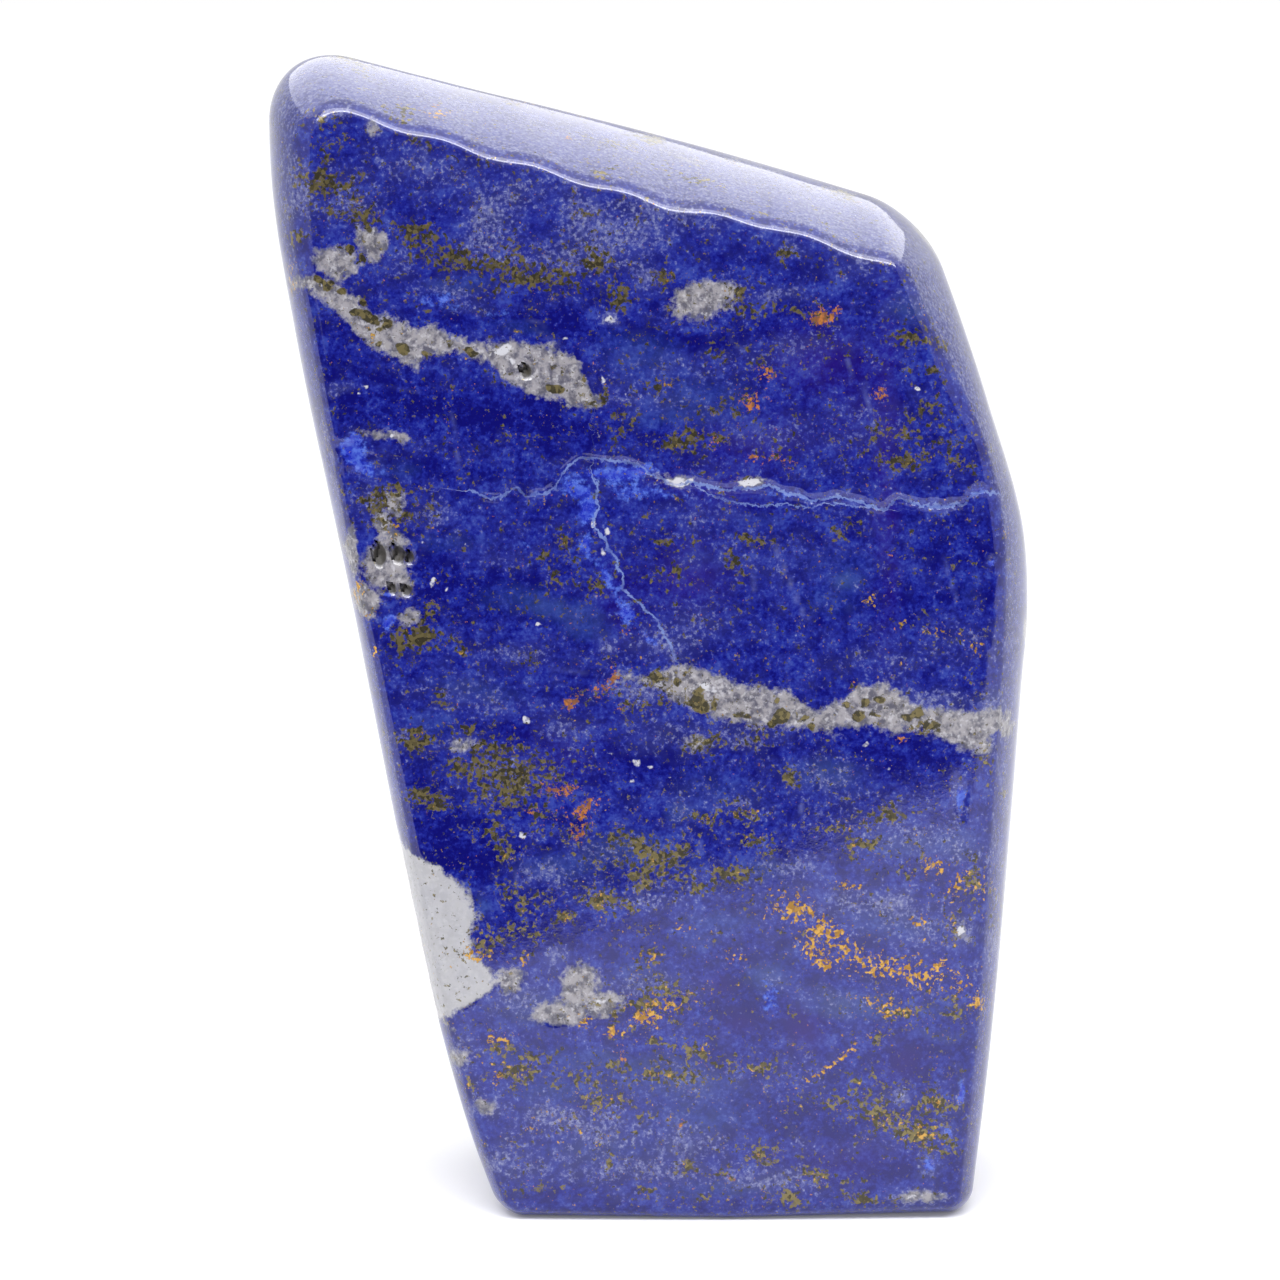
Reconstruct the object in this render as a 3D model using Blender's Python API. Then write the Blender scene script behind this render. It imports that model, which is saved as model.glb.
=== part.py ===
"""A polished freeform of lapis lazuli, standing on its ground base.

The stone is one block: a slab with a leaning left side, a bulged right side and a sloping top, thicker at
the foot than at the head. Its front is lapped nearly flat and has a ground chamfer around it, wide at the
top. A few places were never polished out: a fracture ledge, a chip at the left edge and pits in the white
calcite. It stands along +Z, its front faces -Y, and the origin is under its middle, on the base.
"""

import bmesh
import bpy
import numpy as np

MM = 0.001

# Driving sizes, in millimetres and degrees.
FOOT_FRONT = -19.0
FOOT_BACK = 18.1
FRONT_LEAN = 3.0
BACK_LEAN = 4.5
FRONT_CROWN = 0.5
BACK_CROWN = 1.4
SIDE_BARREL = 0.9
MIDDLE = (3.0, 0.0, 55.0)

# The outline seen from the front: (height, side) down the left and the right, and the slope of the top.
LEFT_SIDE = ((0, -15.0), (7, -17.6), (16, -20.2), (31, -23.5), (60, -29.1), (85, -34.2), (98, -36.3), (113, -36.9))
RIGHT_SIDE = ((0, 31.7), (16, 33.5), (36, 35.2), (50, 36.2), (59, 36.8), (65, 36.4), (78, 32.8), (92, 27.9), (113, 19.0))
TOP_AT_MIDDLE = 103.4
TOP_SLOPE = -0.275
TOP_BOW = -0.0006
SIDE_LEAN = 11.0
HEAD_CORNERS = (7.8, 4.5)
FOOT_CORNER = 2.2

# The ground chamfer round the front: clock angle from +X, its width on the face, its depth on the side.
FRONT_CHAMFER = (
    (-150, 1.3, 2.6),
    (-108, 1.2, 1.6),
    (-85, 0.9, 1.0),
    (-60, 1.8, 2.4),
    (-30, 2.4, 4.0),
    (8, 2.7, 5.0),
    (35, 1.6, 4.0),
    (50, 2.6, 6.0),
    (62, 3.6, 9.0),
    (78, 3.3, 9.0),
    (92, 4.2, 10.0),
    (112, 3.9, 10.0),
    (124, 3.2, 7.0),
    (135, 1.8, 3.5),
    (170, 1.3, 2.6),
)
CHAMFER_RIPPLE = (0.22, 8.6)
CREASE_RADIUS = 1.0
BACK_ROUNDING = 7.0

# Mesh lines across the block: width, depth and height.
GRID = (26, 12, 42)

# Broken places on the front, in millimetres: side and height.
PITS = (
    (-25.7, 64.4, 0.62, 1.0),
    (-23.9, 64.5, 0.58, 0.75),
    (-22.8, 64.2, 0.40, 0.5),
    (-24.5, 61.2, 0.34, 0.45),
    (-23.1, 61.1, 0.45, 0.5),
    (-11.7, 81.9, 0.5, 0.6),
)
PIT_DEPTH = 0.7
FRACTURE = (
    (-16, 70.9),
    (-8.2, 71.2),
    (-6.4, 73.0),
    (-3.2, 73.3),
    (0.1, 72.2),
    (9.6, 71.5),
    (14.3, 69.8),
    (19.1, 69.9),
    (25, 69.0),
    (32.4, 70.3),
)
BRANCH = ((-8.3, 71.0), (-6.1, 69.8), (-5.2, 66.9), (-3.4, 63.7), (-0.9, 59.9), (2.9, 54.4))
CHIP = ((-29.5, 76.4), (-26.5, 75.5), (-24.0, 73.6))


def curve_through(knots, at):
    """A smooth curve through (place, value) knots, as cubic pieces whose slopes are those of the neighbours."""
    places, values = np.array(knots, float).T
    slopes = np.gradient(values, places)
    index = np.clip(np.searchsorted(places, at) - 1, 0, len(places) - 2)
    step = places[index + 1] - places[index]
    t = (at - places[index]) / step
    start, end = values[index], values[index + 1]
    return (
        start * (1 + 2 * t) * (1 - t) ** 2
        + end * t**2 * (3 - 2 * t)
        + step * slopes[index] * t * (1 - t) ** 2
        - step * slopes[index + 1] * t**2 * (1 - t)
    )


def rounded(first, second, radius):
    """Where two half spaces meet, with their edge rounded. Both are distances outwards from a face."""
    corner = np.hypot(np.maximum(first + radius, 0), np.maximum(second + radius, 0))
    return corner + np.minimum(np.maximum(first, second) + radius, 0) - radius


def front_y(x, z):
    """The lapped front: it leans back and is crowned by half a millimetre."""
    crown = FRONT_CROWN * (((x - 4) / 34) ** 2 + ((z - 52) / 55) ** 2)
    return FOOT_FRONT + z * np.tan(np.radians(FRONT_LEAN)) + crown


def back_y(x, z):
    """The back leans forward and keeps the long waves of hand grinding."""
    waves = 0.7 * np.sin(x / 9.0 + 0.8) * np.cos(z / 17.0) + 0.6 * np.sin(z / 23.0 + x / 31.0)
    return FOOT_BACK - z * np.tan(np.radians(BACK_LEAN)) - BACK_CROWN * ((x - 4) / 34) ** 2 + waves


def top_z(x):
    return TOP_AT_MIDDLE + TOP_SLOPE * x + TOP_BOW * x**2


def outline(x, y, z):
    """Distance outwards from the sides, the top and the base, which are a little barrelled from front to back."""
    barrel = SIDE_BARREL * (y / FOOT_FRONT) ** 2
    lean = np.cos(np.radians(SIDE_LEAN))
    left = (curve_through(LEFT_SIDE, z) - x) * lean + barrel
    right = (x - curve_through(RIGHT_SIDE, z)) * lean + barrel
    top = (z - top_z(x)) / np.hypot(1, TOP_SLOPE) + barrel
    head = rounded(rounded(left, top, HEAD_CORNERS[0]), right, HEAD_CORNERS[1])
    return rounded(head, -z, FOOT_CORNER)


def outside(x, y, z):
    """Positive outside the stone, negative inside it and zero on its surface."""
    side = outline(x, y, z)
    front = (front_y(x, z) - y) * np.cos(np.radians(FRONT_LEAN))
    back = y - back_y(x, z)
    clock = np.degrees(np.arctan2(z - MIDDLE[2], x - MIDDLE[0]))
    angles, widths, depths = np.array(FRONT_CHAMFER, float).T
    ripple, ripple_length = CHAMFER_RIPPLE
    width = np.interp(clock, angles, widths, period=360)
    depth = np.interp(clock, angles, depths, period=360)
    crease = np.minimum(CREASE_RADIUS, width / 2)
    width = width + ripple * np.sin(2 * np.pi * x / ripple_length) * (clock > 0)
    chamfer = (side / width + front / depth + 1) / np.hypot(1 / width, 1 / depth)
    body = rounded(side, chamfer, 0.8 * width)
    return rounded(rounded(body, front, crease), back, BACK_ROUNDING)


def sawn_block(cube):
    """The sharp-edged block that the stone is ground from, for points of a cube that runs from -1 to 1."""
    spread = 0.65 * cube + 0.35 * np.sin(cube * np.pi / 2)
    across, depth, up = (spread.T + 1) / 2
    z = up * top_z(-37 + 68 * across)
    left, right = curve_through(LEFT_SIDE, z), curve_through(RIGHT_SIDE, z)
    x = left + (right - left) * across
    y = front_y(x, z) + (back_y(x, z) - front_y(x, z)) * depth
    return np.stack([x, y, z], axis=1)


def ground(points):
    """Moves each point along its line from the stone's middle until it lies on the surface."""
    middle = np.array(MIDDLE)
    low, high = np.full(len(points), 0.4), np.full(len(points), 1.3)
    for _ in range(40):
        half = (low + high) / 2
        out = outside(*(middle + (points - middle) * half[:, None]).T) > 0
        low, high = np.where(out, low, half), np.where(out, half, high)
    return middle + (points - middle) * ((low + high) / 2)[:, None]


def edges_along(bm, axis):
    def runs_along(edge):
        run = edge.verts[1].co - edge.verts[0].co
        return abs(run[axis]) > 0.99 * run.length

    return [edge for edge in bm.edges if runs_along(edge)]


def stone_mesh():
    """A cube with mesh lines along its three axes, moved onto the stone's surface."""
    bm = bmesh.new()
    bmesh.ops.create_cube(bm, size=2.0)
    for axis, lines in enumerate(GRID):
        bmesh.ops.subdivide_edges(bm, edges=edges_along(bm, axis), cuts=lines - 1)
    cube = np.array([vertex.co for vertex in bm.verts])
    for vertex, place in zip(bm.verts, ground(sawn_block(cube)) * MM):
        vertex.co = place
    bmesh.ops.recalc_face_normals(bm, faces=bm.faces)
    mesh = bpy.data.meshes.new("lapis_lazuli")
    bm.to_mesh(mesh)
    bm.free()
    return mesh


def lapis():
    material = bpy.data.materials.new("lapis")
    material.use_nodes = True
    shader = material.node_tree.nodes["Principled BSDF"]
    shader.inputs["Base Color"].default_value = (0.027, 0.035, 0.33, 1.0)
    shader.inputs["Roughness"].default_value = 0.12
    shader.inputs["Metallic"].default_value = 0.0
    return material


def on_front(x, z, proud=0.0):
    """A place on the front face, in metres, standing proud of it by so many millimetres."""
    return (x * MM, (float(front_y(x, z)) - proud) * MM, z * MM)


def hide_as_cutter(cutter, collection):
    collection.objects.link(cutter)
    cutter.hide_render = True
    cutter.display_type = "WIRE"
    return cutter


def pit_cutter(number, pit, collection):
    """A hollow left by a lost grain: a small egg half sunk in the face."""
    x, z, half_width, half_height = pit
    bm = bmesh.new()
    bmesh.ops.create_icosphere(bm, subdivisions=2, radius=MM)
    bmesh.ops.scale(bm, vec=(half_width, PIT_DEPTH, half_height), verts=bm.verts)
    bmesh.ops.translate(bm, vec=on_front(x, z), verts=bm.verts)
    mesh = bpy.data.meshes.new(f"pit_{number}")
    bm.to_mesh(mesh)
    bm.free()
    return hide_as_cutter(bpy.data.objects.new(f"pit_{number}", mesh), collection)


def groove_cutter(name, route, radius, depth, collection):
    """A tube that runs along the face and bites into it by its depth."""
    curve = bpy.data.curves.new(name, "CURVE")
    curve.dimensions = "3D"
    curve.bevel_depth = radius * MM
    curve.bevel_resolution = 1
    curve.use_fill_caps = True
    spline = curve.splines.new("POLY")
    spline.points.add(len(route) - 1)
    for point, (x, z) in zip(spline.points, route):
        point.co = (*on_front(x, z, proud=radius - depth), 1.0)
    tube = bpy.data.objects.new(name, curve)
    bpy.context.scene.collection.objects.link(tube)
    evaluated = tube.evaluated_get(bpy.context.evaluated_depsgraph_get())
    mesh = bpy.data.meshes.new_from_object(evaluated)
    bpy.data.objects.remove(tube)
    bm = bmesh.new()
    bm.from_mesh(mesh)
    bmesh.ops.remove_doubles(bm, verts=bm.verts, dist=1e-6)
    bmesh.ops.recalc_face_normals(bm, faces=bm.faces)
    bm.to_mesh(mesh)
    bm.free()
    return hide_as_cutter(bpy.data.objects.new(name, mesh), collection)


def cut_away(stone, cutter):
    cut = stone.modifiers.new(cutter.name, "BOOLEAN")
    cut.operation = "DIFFERENCE"
    cut.solver = "EXACT"
    cut.object = cutter


def new_collection(name):
    collection = bpy.data.collections.new(name)
    bpy.context.scene.collection.children.link(collection)
    return collection


def build():
    for old in list(bpy.data.objects):
        bpy.data.objects.remove(old)
    model = new_collection("Lapis lazuli freeform")
    cutters = new_collection("Cutters")
    mesh = stone_mesh()
    mesh.materials.append(lapis())
    mesh.shade_smooth()
    stone = bpy.data.objects.new("lapis_lazuli", mesh)
    model.objects.link(stone)
    for number, pit in enumerate(PITS):
        cut_away(stone, pit_cutter(number, pit, cutters))
    cut_away(stone, groove_cutter("fracture", FRACTURE, 0.5, 0.22, cutters))
    cut_away(stone, groove_cutter("branch", BRANCH, 0.9, 0.4, cutters))
    cut_away(stone, groove_cutter("chip", CHIP, 1.4, 0.6, cutters))


build()
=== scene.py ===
# %% [markdown]
# # A polished freeform of lapis lazuli
# Lapis lazuli is a rock, not a single mineral: blue lazurite, white calcite and brassy pyrite grown into
# each other. This piece was sawn from a block, ground by hand to a free shape and polished all round, so its
# shape is simple and nearly all of its character is in what the polished surface cuts through. The script
# loads the imported solid first, because the looks are built around it and are kept inside its box.

import bpy
import numpy as np
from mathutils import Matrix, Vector


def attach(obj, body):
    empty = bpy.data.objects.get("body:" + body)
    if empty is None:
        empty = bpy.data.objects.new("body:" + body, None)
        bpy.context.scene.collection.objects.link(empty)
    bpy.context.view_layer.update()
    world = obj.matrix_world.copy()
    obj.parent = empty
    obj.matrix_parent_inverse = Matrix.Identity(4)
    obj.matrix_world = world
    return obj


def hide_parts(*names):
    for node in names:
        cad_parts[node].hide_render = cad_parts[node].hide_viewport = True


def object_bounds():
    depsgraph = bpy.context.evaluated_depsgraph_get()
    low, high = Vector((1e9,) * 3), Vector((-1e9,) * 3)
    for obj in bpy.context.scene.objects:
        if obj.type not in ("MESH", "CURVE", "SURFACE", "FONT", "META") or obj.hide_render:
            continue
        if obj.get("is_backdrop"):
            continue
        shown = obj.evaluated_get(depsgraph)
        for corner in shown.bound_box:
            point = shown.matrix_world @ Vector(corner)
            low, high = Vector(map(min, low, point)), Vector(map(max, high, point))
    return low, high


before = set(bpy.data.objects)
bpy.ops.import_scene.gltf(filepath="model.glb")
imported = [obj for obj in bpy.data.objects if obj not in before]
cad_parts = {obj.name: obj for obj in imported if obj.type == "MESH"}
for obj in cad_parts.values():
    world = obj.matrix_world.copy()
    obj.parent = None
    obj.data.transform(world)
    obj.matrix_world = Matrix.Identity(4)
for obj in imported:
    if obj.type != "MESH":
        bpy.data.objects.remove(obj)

cad_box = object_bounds()
MM = 0.001
print("CAD box:", [[round(v / MM, 2) for v in corner] for corner in cad_box])

# %% [markdown]
# ## The ground shape
# A lapidary grinds flat faces and rounds off where they meet. The same can be done with distances: each face
# is a half space, a number that is negative inside the stone and positive outside, and two of them are joined
# by taking the larger one with a rounded step between. That gives one function of a point that is zero on the
# stone's surface. The sizes are the ones that the solid was made from, in millimetres, so both agree.

# %% Sizes of the ground stone
FOOT_FRONT = -19.0
FOOT_BACK = 18.1
FRONT_LEAN = 3.0
BACK_LEAN = 4.5
FRONT_CROWN = 0.5
BACK_CROWN = 1.4
SIDE_BARREL = 0.9
MIDDLE = np.array([3.0, 0.0, 55.0])
LEFT_SIDE = (
    (0, -15.0), (7, -17.6), (16, -20.2), (31, -23.5), (60, -29.1), (85, -34.2), (98, -36.3), (113, -36.9),
)
RIGHT_SIDE = (
    (0, 31.7), (16, 33.5), (36, 35.2), (50, 36.2), (59, 36.8), (65, 36.4), (78, 32.8), (92, 27.9), (113, 19.0),
)
TOP_AT_MIDDLE = 103.4
TOP_SLOPE = -0.275
TOP_BOW = -0.0006
SIDE_LEAN = 11.0
HEAD_CORNERS = (7.8, 4.5)
FOOT_CORNER = 2.2
# The chamfer round the front: clock angle from +X, its width on the face, its depth on the side.
FRONT_CHAMFER = (
    (-150, 1.3, 2.6), (-108, 1.2, 1.6), (-85, 0.9, 1.0), (-60, 1.8, 2.4), (-30, 2.4, 4.0), (8, 2.7, 5.0),
    (35, 1.6, 4.0), (50, 2.6, 6.0), (62, 3.6, 9.0), (78, 3.3, 9.0), (92, 4.2, 10.0), (112, 3.9, 10.0),
    (124, 3.2, 7.0), (135, 1.8, 3.5), (170, 1.3, 2.6),
)
CHAMFER_RIPPLE = (0.22, 8.6)
CREASE_RADIUS = 1.0
BACK_ROUNDING = 7.0


# %% Curves and rounded corners
def curve_through(knots, at):
    """A smooth curve through (place, value) knots, as cubic pieces whose slopes are those of the neighbours."""
    places, values = np.array(knots, float).T
    slopes = np.gradient(values, places)
    index = np.clip(np.searchsorted(places, at) - 1, 0, len(places) - 2)
    step = places[index + 1] - places[index]
    t = (at - places[index]) / step
    start, end = values[index], values[index + 1]
    return (
        start * (1 + 2 * t) * (1 - t) ** 2
        + end * t**2 * (3 - 2 * t)
        + step * slopes[index] * t * (1 - t) ** 2
        - step * slopes[index + 1] * t**2 * (1 - t)
    )


def rounded(first, second, radius):
    """Where two half spaces meet: the larger distance, with a circle of this radius in place of the edge."""
    corner = np.hypot(np.maximum(first + radius, 0), np.maximum(second + radius, 0))
    return corner + np.minimum(np.maximum(first, second) + radius, 0) - radius


# %% The faces of the stone
def front_y(x, z):
    """The lapped front: a plane that leans back, plus a shallow bowl of squares that crowns it."""
    crown = FRONT_CROWN * (((x - 4) / 34) ** 2 + ((z - 52) / 55) ** 2)
    return FOOT_FRONT + z * np.tan(np.radians(FRONT_LEAN)) + crown


def back_y(x, z):
    """The back: a plane that leans forward, crowned, plus sine waves left by hand grinding."""
    waves = 0.7 * np.sin(x / 9.0 + 0.8) * np.cos(z / 17.0) + 0.6 * np.sin(z / 23.0 + x / 31.0)
    return FOOT_BACK - z * np.tan(np.radians(BACK_LEAN)) - BACK_CROWN * ((x - 4) / 34) ** 2 + waves


def top_z(x):
    """The top, a line that falls to the right and bows down a little."""
    return TOP_AT_MIDDLE + TOP_SLOPE * x + TOP_BOW * x**2


def outline(x, y, z):
    """Distance outwards from the sides, the top and the base, which bulge a little between front and back."""
    barrel = SIDE_BARREL * (y / FOOT_FRONT) ** 2
    lean = np.cos(np.radians(SIDE_LEAN))
    left = (curve_through(LEFT_SIDE, z) - x) * lean + barrel
    right = (x - curve_through(RIGHT_SIDE, z)) * lean + barrel
    top = (z - top_z(x)) / np.hypot(1, TOP_SLOPE) + barrel
    head = rounded(rounded(left, top, HEAD_CORNERS[0]), right, HEAD_CORNERS[1])
    return rounded(head, -z, FOOT_CORNER)


def outside(x, y, z):
    """Positive outside the stone, negative inside it and zero on its surface."""
    side = outline(x, y, z)
    front = (front_y(x, z) - y) * np.cos(np.radians(FRONT_LEAN))
    back = y - back_y(x, z)
    clock = np.degrees(np.arctan2(z - MIDDLE[2], x - MIDDLE[0]))
    angles, widths, depths = np.array(FRONT_CHAMFER, float).T
    ripple, ripple_length = CHAMFER_RIPPLE
    width = np.interp(clock, angles, widths, period=360)
    depth = np.interp(clock, angles, depths, period=360)
    crease = np.minimum(CREASE_RADIUS, width / 2)
    width = width + ripple * np.sin(2 * np.pi * x / ripple_length) * (clock > 0)
    chamfer = (side / width + front / depth + 1) / np.hypot(1 / width, 1 / depth)
    body = rounded(side, chamfer, 0.8 * width)
    return rounded(rounded(body, front, crease), back, BACK_ROUNDING)


# %% [markdown]
# ## Mesh lines
# The surface needs its mesh lines where the eye is close: the minerals are stored on its points, and the
# front carries the finest of them. A closed grid with one spacing would spend half of its faces on the back.
# So the lines start as a cube's: a fine front, a belt of sides that begins fine and then drops every second
# line, and a back with half the lines. Points shared by two pieces have the same cube coordinates, and
# numpy's unique makes them one, which closes every seam.

# %% A cube with a fine front
FRONT_LINES = (176, 308)
FINE_BELT = 12
COARSE_BELT = 24
BELT_CHANGE = -0.62


def rim(across, up):
    """The rim of a cube's front face as one closed row of (x, z), starting at the lower left corner."""
    bottom = np.stack([across, np.full_like(across, -1)], 1)
    right = np.stack([np.full_like(up, 1), up], 1)
    return np.concatenate([bottom, right[1:], bottom[-2::-1] * [1, -1], right[-2::-1] * [-1, 1]])


def patch(x, y, z):
    """Points of the cube as one grid, with whatever of x, y and z is single spread over it."""
    return np.stack(np.broadcast_arrays(x, y, z), -1).astype(float)


def belt(ring, depths):
    return patch(ring[None, :, 0], np.asarray(depths)[:, None], ring[None, :, 1])


across, up = (np.linspace(-1, 1, lines + 1) for lines in FRONT_LINES)
fine_ring, coarse_ring = rim(across, up), rim(across[::2], up[::2])
fine_depths = np.linspace(-1, BELT_CHANGE, FINE_BELT + 1)
coarse_depths = np.linspace(BELT_CHANGE, 1, COARSE_BELT + 1)[1:]
patches = [
    patch(across[None], -1.0, up[:, None]),
    belt(fine_ring, fine_depths),
    belt(coarse_ring, coarse_depths),
    patch(across[None, ::2], 1.0, up[::2, None]),
]
loose = np.round(np.concatenate([p.reshape(-1, 3) for p in patches]), 9)
cube, shared = np.unique(loose, axis=0, return_inverse=True)
ends = np.cumsum([0] + [p.shape[0] * p.shape[1] for p in patches])
grids = [shared.reshape(-1)[a:b].reshape(p.shape[:2]) for a, b, p in zip(ends, ends[1:], patches)]


# %% Its faces
def quads(grid):
    """The four corners of each cell of a grid of point numbers."""
    return np.stack([grid[:-1, :-1], grid[:-1, 1:], grid[1:, 1:], grid[1:, :-1]], -1).reshape(-1, 4)


def narrowing(fine, coarse):
    """Three triangles from each pair of fine cells to the coarse cell beside them."""
    a, b, c, d, e = fine[:-1:2], fine[1::2], fine[2::2], coarse[:-1], coarse[1:]
    return np.concatenate([np.stack(t, 1) for t in ((a, b, d), (b, e, d), (b, c, e))])


quad_faces = np.concatenate([quads(grid) for grid in grids])
triangle_faces = narrowing(grids[1][-1], grids[2][0])
print(f"{len(cube)} points, {2 * len(quad_faces) + len(triangle_faces)} triangles")

# %% [markdown]
# ## Grinding the cube to the stone
# Moving each point along a line from the stone's middle until the distance function is zero grinds the cube
# to shape. Halving the step each time finds that place for all the points at once. The cube is first bent
# into the sawn block, so that its lines already run as the stone's sides do.


# %% Sawn block, then ground stone
def sawn_block(cube):
    """The sharp-edged block: cube coordinates crowded a little towards its edges, between the stone's faces."""
    spread = 0.65 * cube + 0.35 * np.sin(cube * np.pi / 2)
    across, depth, up = (spread.T + 1) / 2
    z = up * top_z(-37 + 68 * across)
    left, right = curve_through(LEFT_SIDE, z), curve_through(RIGHT_SIDE, z)
    x = left + (right - left) * across
    y = front_y(x, z) + (back_y(x, z) - front_y(x, z)) * depth
    return np.stack([x, y, z], axis=1)


def ground(points):
    """Each point moved along its line from the middle to where the distance is zero, found by halving."""
    low, high = np.full(len(points), 0.4), np.full(len(points), 1.3)
    for _ in range(30):
        half = (low + high) / 2
        out = outside(*(MIDDLE + (points - MIDDLE) * half[:, None]).T) > 0
        low, high = np.where(out, low, half), np.where(out, half, high)
    return MIDDLE + (points - MIDDLE) * ((low + high) / 2)[:, None]


def outward(points, step=0.02):
    """The direction in which the distance grows fastest, from its differences along the three axes."""
    slopes = [outside(*(points + d).T) - outside(*(points - d).T) for d in np.eye(3) * step]
    slopes = np.stack(slopes, 1)
    return slopes / np.linalg.norm(slopes, axis=1, keepdims=True)


skin = ground(sawn_block(cube))
normals = outward(skin)
print("ground stone:", np.round(skin.min(0), 2), np.round(skin.max(0), 2))

# %% [markdown]
# ## Noise for whole arrays
# Everything that grew in the rock is irregular at every size. Blender's noise is only known to the shader,
# and the relief and the mineral patches need the same kind of noise on the mesh points, so a small one is
# written here: a fixed number for each lattice point, blended between the eight corners of a cell, and
# several of those at halving sizes added up. It has no random state, so each run gives the same stone.


# %% Value noise
def lattice_number(i, j, k, seed):
    """A number from 0 to 1 for each lattice point: integers multiplied by large primes, folded and cut."""
    n = (i * 374761393 + j * 668265263 + k * 1440662683 + seed * 1013904223) & 0xFFFFFFFF
    n = ((n ^ (n >> 15)) * 2246822519) & 0xFFFFFFFF
    n = ((n ^ (n >> 13)) * 3266489917) & 0xFFFFFFFF
    return ((n ^ (n >> 16)) & 0xFFFF) / 0xFFFF


def smooth_noise(points, seed):
    """Lattice numbers blended with the smooth step 3t^2 - 2t^3 along each axis."""
    cell = np.floor(points).astype(np.int64)
    t = points - cell
    t = t * t * (3 - 2 * t)
    total = 0.0
    for corner in np.ndindex(2, 2, 2):
        weight = np.prod(np.where(corner, t, 1 - t), axis=1)
        total = total + weight * lattice_number(*(cell + corner).T, seed)
    return total


def noise(points, size, seed, octaves=4):
    """Clouds from about -1 to 1: smooth noise at a size and its halves, each half as strong as the last."""
    total, strength = 0.0, 0.5
    for octave in range(octaves):
        total = total + strength * (smooth_noise(points / size * 2**octave, seed + 17 * octave) * 2 - 1)
        strength /= 2
    return total * 1.6
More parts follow.
